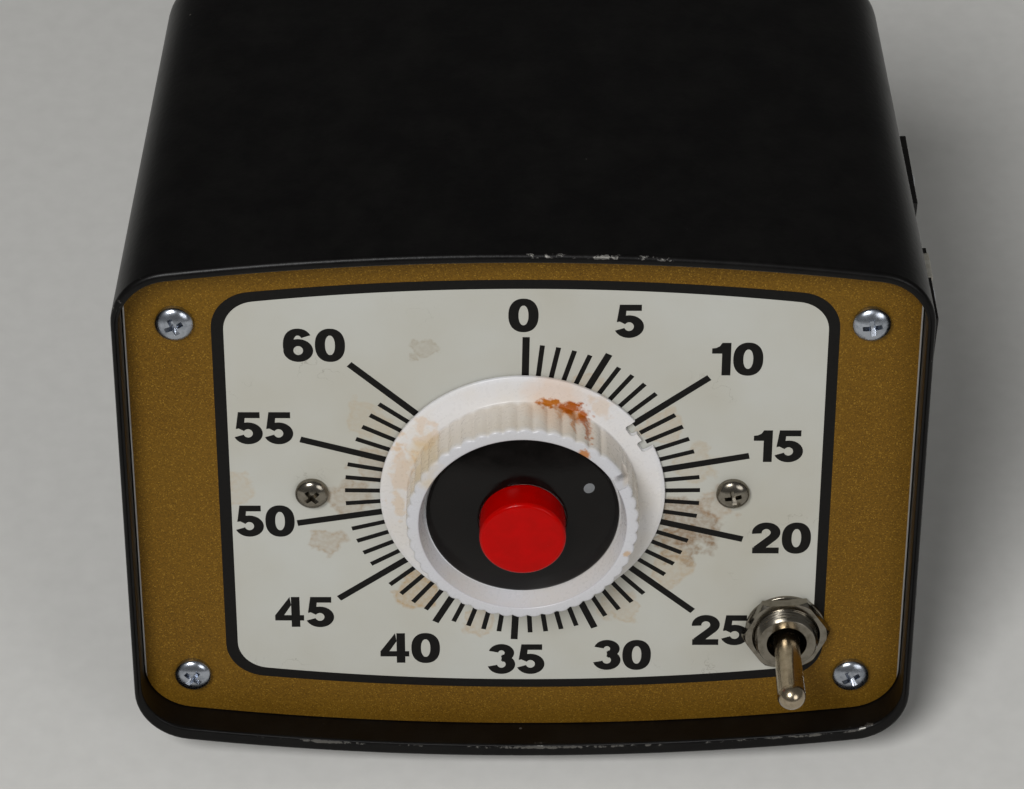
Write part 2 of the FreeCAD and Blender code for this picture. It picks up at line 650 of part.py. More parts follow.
def copies(thing, places):
    """The same piece at several places, given as pairs of formulas."""
    links = []
    for across, behind in places:
        link = doc.addObject("App::Link", "Copy")
        link.LinkedObject = thing
        link.LinkTransform = True
        bind(link, "Placement.Base.x", across)
        bind(link, "Placement.Base.y", behind)
        links.append(link)
    return links


foot_screw = screw("foot_screw_radius", "foot_screw_length", "foot_bore - foot_head_gap", "foot_floor * 0.7")
foot_screw_up = doc.addObject("Part::Compound", "FootScrew")
foot_screw_up.Links = [foot_screw]
foot_screw_up.Placement = Placement(Vector(0, 0, size("foot_floor")), Rotation(Vector(1, 0, 0), 180))
node("rubber_feet", FLOOR, *copies(foot, foot_places()))
node("foot_screws", FLOOR, *copies(foot_screw_up, foot_places()))

# ---------------------------------------------------------------- knob, disc and button

POINTER = size("pointer_angle")


def clock(angle):
    """Turns a piece clockwise from the top by an angle in degrees."""
    return Placement(Vector(), Rotation(TURN, -angle))


knob_blank = turned("KnobBlank", [
    ("skirt_radius", "skirt_lift"),
    ("skirt_radius", "skirt_lift + skirt_thick - skirt_bevel / 2"),
    ("skirt_radius - skirt_bevel", "skirt_lift + skirt_thick"),
    ("grip_radius", "skirt_lift + skirt_thick + skirt_slope"),
    ("grip_radius", "grip_top - grip_bevel"),
    ("grip_radius - grip_bevel", "grip_top"),
    ("grip_bore", "grip_top"),
    ("grip_floor_radius", "grip_floor"),
    ("shaft_radius + thread_gap", "grip_floor"),
    ("shaft_radius + thread_gap", "knob_hub_bottom"),
    ("knob_hub_radius", "knob_hub_bottom"),
    ("knob_hub_radius", "grip_floor - knob_floor_thick"),
    ("grip_radius - knob_wall", "grip_floor - knob_floor_thick"),
    ("grip_radius - knob_wall", "skirt_lift"),
])


def knob_cuts():
    """The hollows of the fluted grip, the pointer's slot and the notches beside the pointer."""
    flutes = []
    for step in range(int(size("flute_count"))):
        hollow = Part.makeCylinder(size("flute_radius"), size("grip_top"),
                                   Vector(0, size("grip_radius + flute_radius - flute_depth"),
                                          size("skirt_lift + skirt_thick + skirt_slope")))
        hollow.Placement = clock(360.0 / size("flute_count") * step + POINTER)
        if not POINTER - 18 < 360.0 / size("flute_count") * step + POINTER - 360 < POINTER:
            flutes.append(hollow)
    width = size("pointer_slot")
    slot = Part.makeBox(width, size("grip_radius"), size("grip_top"),
                        Vector(-width / 2, size("grip_floor_radius") - 2, size("grip_floor")))
    slot.Placement = clock(POINTER)
    notches = []
    for side in (1, -1):
        notch = Part.makeCylinder(size("pointer_notch") / 2, size("grip_top"),
                                  Vector(side * size("pointer_tooth + pointer_notch") / 2,
                                         size("skirt_radius - pointer_depth + pointer_notch / 2"), 0))
        mouth = Part.makeBox(size("pointer_notch"), size("pointer_depth"), size("grip_top"),
                             Vector(side * size("pointer_tooth + pointer_notch") / 2
                                    - size("pointer_notch") / 2,
                                    size("skirt_radius - pointer_depth + pointer_notch / 2"), 0))
        both = notch.fuse(mouth)
        both.Placement = clock(POINTER - size("pointer_lag"))
        notches.append(both)
    return Part.Compound(flutes + [slot] + notches)


node("timing_knob", FACE, cut(knob_blank, shaped(knob_cuts(), "KnobCuts")))

dome = "((grip_floor_radius - disc_gap)^2 + disc_rise^2) / (2 * disc_rise)"
disc_solid = common(rod("grip_floor_radius - disc_gap", "grip_floor", "grip_floor + disc_edge + disc_rise"),
                    ball(dome, "0", "0", "grip_floor + disc_edge + disc_rise - (%s)" % dome))
node("knob_disc", FACE, cut(disc_solid, rod("button_radius + button_gap", "grip_floor - 1", "button_top")))

start_button = turned("StartButton", [
    ("button_radius", BUTTON_BOTTOM),
    ("button_radius", "button_top - button_round"),
    ("button_radius - button_round * 0.3", "button_top - button_round * 0.3"),
    ("button_radius - button_round", "button_top"),
    ("0", "button_top"),
    ("0", "button_top - button_roof + rod_socket"),
    ("rod_radius", "button_top - button_roof + rod_socket"),
    ("rod_radius", "button_top - button_roof"),
    ("spring_radius + button_gap", "button_top - button_roof"),
    ("spring_radius + button_gap", BUTTON_BOTTOM),
])
node("start_button", FACE, start_button)
node("push_rod", FACE, rod("rod_radius", "-rod_end", "button_top - button_roof + rod_socket"))


def coil_spring(radius, wire, length, turns, bottom):
    """A coil spring of round wire with its first turn on a floor, lofted through rings of wire."""
    steps = 16
    mean = radius - wire / 2
    pitch = (length - wire) / turns
    rings = []
    for step in range(int(turns * steps) + 1):
        angle = 2 * math.pi * step / steps
        middle = Vector(mean * math.cos(angle), mean * math.sin(angle),
                        bottom + wire / 2 + pitch * step / steps)
        along = Vector(-math.sin(angle), math.cos(angle), pitch / (2 * math.pi * mean))
        ring = Part.Circle(middle, along, wire / 2)
        ring.XAxis = Vector(math.cos(angle), math.sin(angle), 0)
        rings.append(Part.Wire(ring.toShape()))
    return Part.makeLoft(rings, True, True)


node("button_spring", FACE, shaped(coil_spring(size("spring_radius"), size("spring_wire"),
                                               size(SPRING_LENGTH), size("spring_turns"),
                                               size("grip_floor")), "Spring"))

# ---------------------------------------------------------------- set shaft and its bushing

ARM_FRONT = "-front_plate_depth - movement_plate - set_arm_gap"
ARM_BACK = ARM_FRONT + " - set_arm_thick"
node("set_shaft", FACE, tube("shaft_radius", "rod_radius + run_gap", ARM_BACK, "grip_floor - run_gap"))
bushing_bottom = "-plate_thick - bushing_flange"
node("shaft_bushing", FACE, cut(fuse(rod("bushing_flange_radius", bushing_bottom, "-plate_thick"),
                                     rod("bushing_radius", "-plate_thick - 1", "bushing_front")),
                                rod("shaft_radius + run_gap", bushing_bottom + " - 1",
                                    "bushing_front + 1")))
node("bushing_nut", FACE, cut(hexagon("bushing_nut_flat", "0", "bushing_nut_thick"),
                              rod("bushing_radius + thread_gap", "-1", "bushing_nut_thick + 1")))


def arm(length, hub, thick, bore, front, tab):
    """A flat arm with a round hub, standing straight up, and a tab bent back at its end."""
    width = size("arm_width")
    flat = Part.makeCylinder(hub, thick, Vector(0, 0, front - thick)).fuse(
        Part.makeBox(width, length - 0.5, thick, Vector(-width / 2, 0, front - thick)))
    if tab:
        flat = flat.fuse(Part.makeBox(width, size("stop_tab"), thick + tab,
                                      Vector(-width / 2, length - size("stop_tab"), front - thick - tab)))
        flat = flat.fuse(Part.makeBox(width, size("stop_tab"), thick,
                                      Vector(-width / 2, length - size("stop_tab"), front - thick)))
    return flat.cut(Part.makeCylinder(bore, 4 * thick, Vector(0, 0, front - 3 * thick)))


set_arm = arm(size("arm_reach"), size("set_arm_hub"), size("set_arm_thick"), size("shaft_radius"),
              size(ARM_FRONT), size("stop_tab_length"))
node("set_arm", FACE.multiply(clock(POINTER)), shaped(set_arm, "SetArm"))

# ---------------------------------------------------------------- movement plates

FRONT_BACK = "-front_plate_depth - movement_plate"
REAR_BACK = "-rear_plate_depth - movement_plate"
PILLARS = [(x, y) for x in (PILLAR_X, "-" + PILLAR_X) for y in ("pillar_y", "-pillar_y")]
IDLER = ("drive_module * (wheel_teeth + idler_pinion_teeth) / 2 * cos(idler_angle)",
         "drive_module * (wheel_teeth + idler_pinion_teeth) / 2 * sin(idler_angle)")
MOTOR = (IDLER[0] + " + input_module * (idler_teeth + motor_pinion_teeth) / 2 * cos(motor_angle)",
         IDLER[1] + " + input_module * (idler_teeth + motor_pinion_teeth) / 2 * sin(motor_angle)")
MOTOR_EARS = [("(%s) + motor_ear" % MOTOR[0], MOTOR[1]), ("(%s) - motor_ear" % MOTOR[0], MOTOR[1])]

front_blank = fuse(block("-" + MOVEMENT_X, MOVEMENT_X, "-movement_half_height",
                         "movement_half_height", FRONT_BACK, "-front_plate_depth"),
                   block("-%s - ear_reach" % MOVEMENT_SCREW_X, MOVEMENT_SCREW_X + " + ear_reach",
                         "-ear_half_height", "ear_half_height", FRONT_BACK, "-front_plate_depth"))
front_holes = [rod("shaft_radius + screw_hole_gap", FRONT_BACK + " - 1", "-front_plate_depth + 1"),
               rod("idler_arbor_radius + run_gap", FRONT_BACK + " - 1", "-front_plate_depth + 1", *IDLER)]
front_holes += [rod("screw_radius + thread_gap", FRONT_BACK + " - 1", "-front_plate_depth + 1", x)
                for x in (MOVEMENT_SCREW_X, "-" + MOVEMENT_SCREW_X)]
front_holes += [rod("pillar_screw_radius + screw_hole_gap", FRONT_BACK + " - 1", "-front_plate_depth + 1",
                    x, y) for x, y in PILLARS]

START_X = "-lever_arm"
TRIP_X = "lever_length - arm_reach * sin(-dog_home)"
lever_rise = "lever_pivot + lever_length * tan(lever_angle) + lever_thick / 2 / cos(lever_angle)"
TRIP_TOP = "arm_reach + trip_gap + " + lever_rise
SWITCH_HOLES = "switch_height * 0.6"
SWITCH_SCREW_X = ("switch_hole_inset - switch_back", "switch_hole_inset - switch_back + switch_hole_pitch")
front_holes += [rod("small_screw_radius + thread_gap", FRONT_BACK + " - 1", "-front_plate_depth + 1",
                    "%s - (%s)" % (TRIP_X, across), TRIP_TOP + " + " + SWITCH_HOLES)
                for across in SWITCH_SCREW_X]
node("movement_front_plate", FACE, cut(front_blank, *front_holes))

rear_blank = block("-rear_plate_left", MOVEMENT_X, "-movement_half_height",
                   "movement_half_height", REAR_BACK, "-rear_plate_depth")
rear_holes = [rod("arbor_radius + run_gap", REAR_BACK + " - 1", "-rear_plate_depth + 1"),
              rod("idler_arbor_radius + run_gap", REAR_BACK + " - 1", "-rear_plate_depth + 1", *IDLER),
              rod("motor_shaft_radius + motor_shaft_gap", REAR_BACK + " - 1", "-rear_plate_depth + 1",
                  *MOTOR)]
rear_holes += [rod("pillar_screw_radius + screw_hole_gap", REAR_BACK + " - 1", "-rear_plate_depth + 1",
                   x, y) for x, y in PILLARS]
rear_holes += [rod("small_screw_radius + thread_gap", REAR_BACK + " - 1", "-rear_plate_depth + 1", x, y)
               for x, y in MOTOR_EARS]
node("movement_rear_plate", FACE, cut(rear_blank, *rear_holes))

pillars = []
for x, y in PILLARS:
    bores = [rod("pillar_screw_radius + thread_gap", FRONT_BACK + " - pillar_screw_length",
                 FRONT_BACK + " + 1", x, y),
             rod("pillar_screw_radius + thread_gap", "-rear_plate_depth - 1",
                 "-rear_plate_depth + pillar_screw_length", x, y)]
    pillars.append(cut(rod("pillar_radius", "-rear_plate_depth", FRONT_BACK, x, y), *bores))
node("pillars", FACE, *pillars)
front_screws = [screw("pillar_screw_radius", "pillar_screw_length", "pillar_radius",
                      "small_head_height", x, y, "-front_plate_depth") for x, y in PILLARS]
rear_screws = []
for x, y in PILLARS:
    item = doc.addObject("Part::Compound", "RearScrew")
    item.Links = [screw("pillar_screw_radius", "pillar_screw_length", "pillar_radius",
                        "small_head_height", x, "-(%s)" % y, "-(%s)" % REAR_BACK)]
    item.Placement = Placement(Vector(), Rotation(Vector(1, 0, 0), 180))
    rear_screws.append(item)
node("pillar_screws", FACE, *(front_screws + rear_screws))

MOVEMENT_SCREWS = (MOVEMENT_SCREW_X, "-" + MOVEMENT_SCREW_X)
node("movement_spacers", FACE, *[tube("spacer_radius", "screw_radius + screw_hole_gap",
                                      "-front_plate_depth", "-plate_thick", x) for x in MOVEMENT_SCREWS])
node("movement_screws", FACE, *[screw("screw_radius", "front_plate_depth + movement_plate + 1",
                                      "movement_head_radius", "screw_head_height", x)
                                for x in MOVEMENT_SCREWS])

# ---------------------------------------------------------------- gears and arbors

PRESSURE = math.radians(20)


def gear(teeth, module, phase, front, thick, bore):
    """A spur gear with involute flanks. One tooth points at the angle phase, in degrees."""
    pitch = module * teeth / 2
    base = pitch * math.cos(PRESSURE)
    root = pitch - 1.2 * module
    tip = pitch + 0.9 * module
    half = (math.pi * module / 2 - size("backlash") / 2) / (2 * pitch)
    spread = math.tan(PRESSURE) - PRESSURE

    def flank(radius):
        pressure = math.acos(min(1.0, base / radius))
        return half + spread - (math.tan(pressure) - pressure)

    low = max(base, root)
    rises = [(root, flank(low))] if low > root else []
    rises += [(low + (tip - low) * step / 3.0, flank(low + (tip - low) * step / 3.0)) for step in range(4)]
    points = []
    for tooth in range(int(teeth)):
        middle = math.radians(phase) + 2 * math.pi * tooth / teeth
        for side, run in ((-1, rises), (1, rises[::-1])):
            points += [Vector(radius * math.cos(middle + side * angle),
                              radius * math.sin(middle + side * angle), front - thick)
                       for radius, angle in run]
    outline = Part.makePolygon(points + points[:1])
    solid = Part.Face(outline).extrude(Vector(0, 0, thick))
    return solid.cut(Part.makeCylinder(bore, 3 * thick, Vector(0, 0, front - 2 * thick)))


def at(shape, centre):
    """A shape moved to an axis given as two formulas."""
    shape.translate(Vector(size(centre[0]), size(centre[1]), 0))
    return shape


idler_angle = size("idler_angle")
motor_angle = size("motor_angle")
extra = size("pinion_extra")
thick = size("wheel_thick")
wheel_front = -size("wheel_depth")
idler_front = wheel_front - thick - size("idler_wheel_gap")
hub_back = "-wheel_depth - wheel_thick - hub_length"
arbor_front = ARM_BACK + " - arbor_gap"

node("timing_arbor", FACE, tube("arbor_radius", "rod_radius + run_gap", REAR_BACK + " - arbor_tail",
                                arbor_front))
wheel = gear(size("wheel_teeth"), size("drive_module"), idler_angle, wheel_front, thick,
             size("arbor_radius"))
wheel_hub = Part.makeCylinder(size("hub_radius"), size("hub_length"), Vector(0, 0, size(hub_back)))
wheel_hub = wheel_hub.cut(Part.makeCylinder(size("arbor_radius"), 3 * size("hub_length"),
                                            Vector(0, 0, size(hub_back) - size("hub_length"))))
node("timing_wheel", FACE, shaped(wheel.fuse(wheel_hub), "TimingWheel"))
dog = arm(size("arm_reach"), size("hub_radius"), size("set_arm_thick"), size("arbor_radius"),
          -size("dog_depth"), 0)
node("trip_dog", FACE.multiply(clock(size("dog_home"))), shaped(dog, "TripDog"))

idler_pinion = gear(size("idler_pinion_teeth"), size("drive_module"),
                    idler_angle + 180 + 180 / size("idler_pinion_teeth"), wheel_front + extra,
                    thick + 2 * extra, size("idler_arbor_radius"))
idler_wheel = gear(size("idler_teeth"), size("input_module"), motor_angle, idler_front, thick,
                   size("idler_arbor_radius"))
idler_collar = Part.makeCylinder(size("pillar_radius"), -idler_front + wheel_front - thick - extra,
                                 Vector(0, 0, idler_front))
idler_collar = idler_collar.cut(Part.makeCylinder(size("idler_arbor_radius"), size("rear_plate_depth"),
                                                  Vector(0, 0, -size("rear_plate_depth"))))
node("idler_arbor", FACE, rod("idler_arbor_radius", REAR_BACK, "-front_plate_depth", *IDLER))
node("idler_pinion", FACE, shaped(at(idler_pinion, IDLER), "IdlerPinion"))
node("idler_wheel", FACE, shaped(at(idler_wheel.fuse(idler_collar), IDLER), "IdlerWheel"))
motor_pinion = gear(size("motor_pinion_teeth"), size("input_module"),
                    motor_angle + 180 + 180 / size("motor_pinion_teeth"), idler_front + extra,
                    thick + 2 * extra, size("motor_shaft_radius"))
node("motor_pinion", FACE, shaped(at(motor_pinion, MOTOR), "MotorPinion"))


def spiral(inner, outer, turns, strip, width, back):
    """A flat spiral spring of thin strip wound round the arbor."""
    steps = 24
    count = int(turns * steps)
    sides = []
    for offset in (0, strip):
        points = []
        for step in range(count + 1):
            angle = 2 * math.pi * step / steps
            radius = inner + offset + (outer - strip - inner) * step / count
            points.append(Vector(radius * math.cos(angle), radius * math.sin(angle), back))
        curve = Part.BSplineCurve()
        curve.interpolate(points)
        sides.append(curve.toShape())
    ends = [Part.LineSegment(side.valueAt(side.FirstParameter), other.valueAt(other.FirstParameter))
            for side, other in [sides]]
    ends += [Part.LineSegment(side.valueAt(side.LastParameter), other.valueAt(other.LastParameter))
             for side, other in [sides]]
    outline = Part.Wire(Part.__sortEdges__(sides + [end.toShape() for end in ends]))
    return Part.Face(outline).extrude(Vector(0, 0, width))


spiral_front = hub_back + " - spiral_gap"
spiral_width = spiral_front + " + rear_plate_depth - spiral_rear_gap"
node("reset_spring", FACE, shaped(spiral(size("arbor_radius"), size("spiral_outer"), size("spiral_turns"),
                                         size("spiral_strip"), size(spiral_width),
                                         size("spiral_rear_gap - rear_plate_depth")), "ResetSpring"))
node("spring_post", FACE, rod("post_pin_radius", "-rear_plate_depth", spiral_front,
                              "spiral_outer + button_gap + post_pin_radius"))

# ---------------------------------------------------------------- motor

FLANGE_BACK = REAR_BACK + " - motor_flange"
BOX_BACK = FLANGE_BACK + " - gearbox_length"
CAN_BACK = BOX_BACK + " - motor_length"
SHAFT_BACK = BOX_BACK + " + gearbox_length / 2"
ears = fuse(rod("gearbox_radius", FLANGE_BACK, REAR_BACK, *MOTOR),
            *[rod("small_head_radius + motor_ear_margin", FLANGE_BACK, REAR_BACK, x, y)
              for x, y in MOTOR_EARS],
            block("(%s) - motor_ear" % MOTOR[0], "(%s) + motor_ear" % MOTOR[0],
                  "(%s) - small_head_radius" % MOTOR[1], "(%s) + small_head_radius" % MOTOR[1],
                  FLANGE_BACK, REAR_BACK))
box_holes = [rod("motor_shaft_radius + run_gap", SHAFT_BACK, REAR_BACK + " + 1", *MOTOR),
             rod("motor_shaft_radius + run_gap", BOX_BACK + " - 1", BOX_BACK + " + rotor_tail + inner_gap",
                 *MOTOR)]
box_holes += [rod("small_screw_radius + screw_hole_gap", FLANGE_BACK + " - 1", REAR_BACK + " + 1", x, y)
              for x, y in MOTOR_EARS]
node("motor_gearbox", FACE, cut(fuse(ears, rod("gearbox_radius", BOX_BACK, REAR_BACK, *MOTOR)), *box_holes))
motor_screws = []
for x, y in MOTOR_EARS:
    item = doc.addObject("Part::Compound", "MotorScrew")
    item.Links = [screw("small_screw_radius", "motor_flange + movement_plate", "small_head_radius",
                        "small_head_height", x, "-(%s)" % y, "-(%s)" % FLANGE_BACK)]
    item.Placement = Placement(Vector(), Rotation(Vector(1, 0, 0), 180))
    motor_screws.append(item)
node("motor_screws", FACE, *motor_screws)
node("motor_can", FACE, cut(rod("motor_radius", CAN_BACK, BOX_BACK, *MOTOR),
                            rod("motor_radius - motor_wall", CAN_BACK + " + motor_wall",
                                BOX_BACK + " - motor_wall", *MOTOR),
                            rod("motor_shaft_radius + run_gap", CAN_BACK + " - 1", BOX_BACK + " + 1",
                                *MOTOR)))
node("motor_coil", FACE, tube("coil_radius", "rotor_radius + inner_gap",
                              CAN_BACK + " + motor_wall", BOX_BACK + " - motor_wall - inner_gap", *MOTOR))
node("motor_rotor", FACE, fuse(rod("rotor_radius", CAN_BACK + " + motor_wall + inner_gap",
                                   BOX_BACK + " - motor_wall - inner_gap", *MOTOR),
                               rod("motor_shaft_radius", CAN_BACK, BOX_BACK + " + rotor_tail", *MOTOR)))
shaft_tip = "-wheel_depth - wheel_thick - idler_wheel_gap + pinion_extra"
node("motor_shaft", FACE, rod("motor_shaft_radius", SHAFT_BACK + " + inner_gap", shaft_tip, *MOTOR))

# ---------------------------------------------------------------- snap switches

# A switch is drawn with its lever's pivot at x = 0, its lever reaching along +x and its top on
# y = 0. The start switch stands behind the rear plate under the push rod, and the trip switch hangs
# on the front plate over the trip dog's home.

START_TOP = "-rod_end - press_gap - (lever_pivot + (lever_arm + rod_radius) * tan(lever_angle)" \
    " + lever_thick / 2 / cos(lever_angle))"
START = FACE.multiply(Placement(Vector(size(START_X), 0, size(START_TOP)),
                                Rotation(Vector(1, 0, 0), 90)))
TRIP = FACE.multiply(Placement(Vector(size(TRIP_X), size(TRIP_TOP),
                                      size(FRONT_BACK + " - switch_thick / 2")), Rotation(TURN, 180)))
SWITCH_BACK = "-switch_back"
PLUNGER_TOP = "lever_pivot + (plunger_arm - plunger_radius) * tan(lever_angle)" \
    " - lever_thick / 2 / cos(lever_angle) - plunger_gap"


def across_switch(radius, x, y, half_length):
    """A round bore or pin across a switch, from side to side."""
    thing = shaped(Part.makeCylinder(size(radius), 2 * size(half_length),
                                     Vector(size(x), size(y), -size(half_length))))
    return thing


def upright_switch(radius, x, low, high):
    """A round bore or plunger along a switch's height."""
    return shaped(Part.makeCylinder(size(radius), size(high) - size(low),
                                    Vector(size(x), size(low), 0), Vector(0, 1, 0)))


def switch_body():
    """The moulded body with two ears for the lever's pin."""
    half = "switch_thick / 2"
    case = block(SWITCH_BACK, "switch_length + " + SWITCH_BACK, "-switch_height", "0", "-" + half, half)
    ears = [block("-switch_ear", "switch_ear", "-1", "lever_pivot + lever_eye", low, high)
            for low, high in (("-" + half, "-lever_width / 2 - lever_side_gap"),
                              ("lever_width / 2 + lever_side_gap", half))]
    bores = [across_switch("pin_radius", "0", "lever_pivot", "switch_thick"),
             upright_switch("plunger_radius + run_gap", "plunger_arm", "-switch_height / 2", "1")]
    bores += [across_switch("small_screw_radius + run_gap", across, "-" + SWITCH_HOLES, "switch_thick")
              for across in SWITCH_SCREW_X]
    return cut(fuse(case, *ears), *bores)


def switch_lever():
    """The lever, lying along x with its pin hole at the origin."""
    flat = block("0", "lever_length", "-lever_thick / 2", "lever_thick / 2", "-lever_width / 2",
                 "lever_width / 2")
    eye = rod("lever_eye", "-lever_width / 2", "lever_width / 2")
    return cut(fuse(flat, eye), rod("pin_radius + run_gap", "-lever_width", "lever_width"))


LEVER_SWING = Placement(Vector(0, size("lever_pivot"), 0), Rotation(TURN, size("lever_angle")))
for name, frame in (("start_switch", START), ("trip_switch", TRIP)):
    node(name + "_body", frame, switch_body())
    node(name + "_lever", frame.multiply(LEVER_SWING), switch_lever())
    node(name + "_plunger", frame, upright_switch("plunger_radius", "plunger_arm", "-switch_height / 2 + 1",
                                                  PLUNGER_TOP))


def moved(frame, *things):
    """Pieces of a group that stand in a frame of their own."""
    group = doc.addObject("Part::Compound", "Moved")
    group.Links = list(things)
    group.Placement = FACE.inverse().multiply(frame)
    return group


def switch_tabs():
    """Three flat tabs under a switch."""
    return [block("%s + %s" % (SWITCH_BACK, across), "%s + %s + lug_thick" % (SWITCH_BACK, across),
                  "-switch_height - lug_length * 0.7", "-switch_height", "-lug_width / 2", "lug_width / 2")
            for across in ("switch_tab_inset", "switch_length / 2",
                           "switch_length - switch_tab_inset - lug_thick")]


START_LEG = ("switch_thick / 2", "switch_thick / 2 + bracket_thick")
node("switch_pins", FACE, *[moved(frame, across_switch("pin_radius", "0", "lever_pivot", "switch_thick / 2"))
                            for frame in (START, TRIP)])
node("switch_tabs", FACE, *[moved(frame, *switch_tabs()) for frame in (START, TRIP)])
start_screws = [screw("small_screw_radius", "switch_thick + bracket_thick + 1", "small_head_radius",
                      "small_head_height", across, "-" + SWITCH_HOLES, "switch_thick / 2")
                for across in SWITCH_SCREW_X]
flip = Placement(Vector(), Rotation(Vector(1, 0, 0), 180))
trip_screws = [screw("small_screw_radius", "switch_thick + movement_plate", "small_head_radius",
                     "small_head_height", across, SWITCH_HOLES, "switch_thick / 2")
               for across in SWITCH_SCREW_X]
node("switch_screws", FACE, moved(START, *start_screws), moved(TRIP.multiply(flip), *trip_screws))

leg_top = "(%s) - switch_height - 1" % START_TOP
bracket = fuse(block(START_X + " + " + SWITCH_BACK, START_X + " + switch_length + " + SWITCH_BACK,
                     START_LEG[0], START_LEG[1], leg_top, REAR_BACK),
               block(START_X + " + " + SWITCH_BACK, START_X + " + switch_length + " + SWITCH_BACK,
                     START_LEG[0], START_LEG[1] + " + bracket_foot", REAR_BACK + " - bracket_thick",
                     REAR_BACK))
bracket_holes = [rod("small_screw_radius + thread_gap", "-3 * switch_thick", "3 * switch_thick", across,
                     "-" + SWITCH_HOLES) for across in SWITCH_SCREW_X]
node("start_switch_bracket", FACE, cut(bracket, moved(START, *bracket_holes)))

# ---------------------------------------------------------------- toggle switch

TOGGLE = FACE.multiply(Placement(Vector(size(TOGGLE_X), -size("toggle_y"), 0), Rotation()))
SHELL_TOP = "-plate_thick - lug_thick"


def cross_pin(radius, half_length):
    """A round pin or bore across the toggle, through the point that its lever turns on."""
    return shaped(Part.makeCylinder(size(radius), 2 * size(half_length), Vector(-size(half_length), 0, 0),
                                    Vector(1, 0, 0)))


BODY_BACK = "-plate_thick - toggle_body_depth"
node("toggle_bushing", TOGGLE,
     cut(fuse(rod("toggle_radius", SHELL_TOP, "toggle_front - toggle_bevel"),
              cone("toggle_radius", "toggle_radius - toggle_bevel", "toggle_front - toggle_bevel",
                   "toggle_front"),
              block("-toggle_body_x / 2", "toggle_body_x / 2", "-toggle_body_y / 2", "toggle_body_y / 2",
                    SHELL_TOP, "-plate_thick")),
         rod("toggle_bore", SHELL_TOP + " - 1", "toggle_front + 1"),
         cross_pin("toggle_pin_radius + run_gap", "toggle_bore + toggle_pin_reach + run_gap")))
node("toggle_body", TOGGLE,
     cut(block("-toggle_body_x / 2", "toggle_body_x / 2", "-toggle_body_y / 2", "toggle_body_y / 2",
               BODY_BACK, SHELL_TOP),
         block("toggle_shell - toggle_body_x / 2", "toggle_body_x / 2 - toggle_shell",
               "toggle_shell - toggle_body_y / 2", "toggle_body_y / 2 - toggle_shell",
               BODY_BACK + " + toggle_shell", SHELL_TOP + " + 1")))
node("toggle_washer", TOGGLE, tube("washer_radius", "toggle_radius + run_gap", "0", "washer_thick"))
nut_blank = common(hexagon("toggle_nut_flat", "washer_thick", "washer_thick + toggle_nut_thick",
                           "30 + toggle_nut_turn"),
                   cone("toggle_nut_flat * 0.72", "toggle_nut_flat * 0.53", "0",
                        "washer_thick + toggle_nut_thick"))
node("toggle_nut", TOGGLE, cut(nut_blank, rod("toggle_radius + thread_gap", "-1", "toggle_front")))
node("toggle_lever", TOGGLE,
     fuse(cone("toggle_neck_radius", "toggle_tip_radius", "0", "toggle_tip - toggle_tip_radius"),
          ball("toggle_tip_radius", "0", "0", "toggle_tip - toggle_tip_radius"),
          ball("toggle_ball", "0", "0", "0"), rod("rod_radius", "-toggle_tail", "0"),
          cross_pin("toggle_pin_radius", "toggle_bore + toggle_pin_reach")))
node("toggle_lugs", TOGGLE, *[block("-lug_width / 2", "lug_width / 2", "%s - lug_thick / 2" % up,
                                    "%s + lug_thick / 2" % up, BODY_BACK + " - lug_length", BODY_BACK)
                              for up in ("-lug_pitch", "0", "lug_pitch")])

# ---------------------------------------------------------------- outlets

OUTLET_SLOTS = ("slot_pitch / 2", "-slot_pitch / 2")
FLANGE_TOP = "outlet_seat + outlet_flange_thick"
FLANGE_BEVEL = "outlet_flange_thick / 3"


def outlet():
    """The moulded flange and body of one outlet, drawn with z out of the wall."""
    half_width = "outlet_flange_width / 2"
    half_height = "outlet_flange_height / 2"
    flange = block("-" + half_width, half_width, "-" + half_height, half_height, "outlet_seat",
                   FLANGE_TOP)
    body = block("-outlet_body_width / 2", "outlet_body_width / 2", "-outlet_body_height / 2",
                 "outlet_body_height / 2", "-outlet_body_depth", "outlet_seat")
    slots = [block("-slot_length / 2", "slot_length / 2", "%s - slot_width / 2" % up,
                   "%s + slot_width / 2" % up, "%s - slot_depth" % FLANGE_TOP, FLANGE_TOP + " + 1")
             for up in OUTLET_SLOTS]
    holes = [rod("outlet_screw_radius + screw_hole_gap", "-1", FLANGE_TOP + " + 1", "0", up)
             for up in ("outlet_screw_pitch / 2", "-outlet_screw_pitch / 2")]
    return cut(fuse(flange, body), *(slots + holes))


FRONT_OUTLET = FACE.multiply(outlet_frame("outlet_front"))
BACK_OUTLET = FACE.multiply(outlet_frame("outlet_back"))
node("front_outlet", FRONT_OUTLET, outlet())
node("back_outlet", BACK_OUTLET, outlet())
contacts = []
outlet_screws = []
for frame in (FRONT_OUTLET, BACK_OUTLET):
    floor = "%s - slot_depth" % FLANGE_TOP
    contacts.append(moved(frame, *[block("-slot_length / 2", "slot_length / 2", "%s - slot_width / 2" % up,
                                         "%s - slot_width / 2 + contact_thick" % up, floor, "0")
                                   for up in OUTLET_SLOTS]))
    outlet_screws.append(moved(frame, *[screw("outlet_screw_radius", FLANGE_TOP + " + case_wall",
                                              "small_head_radius", "small_head_height / 2", "0", up,
                                              FLANGE_TOP)
                                        for up in ("outlet_screw_pitch / 2", "-outlet_screw_pitch / 2")]))
node("outlet_contacts", FACE, *contacts)
node("outlet_screws", FACE, *outlet_screws)
tape_right = "outlet_flange_width / 2 - tape_back"
tape_left = tape_right + " - tape_width"
flange_end = "outlet_flange_height / 2"
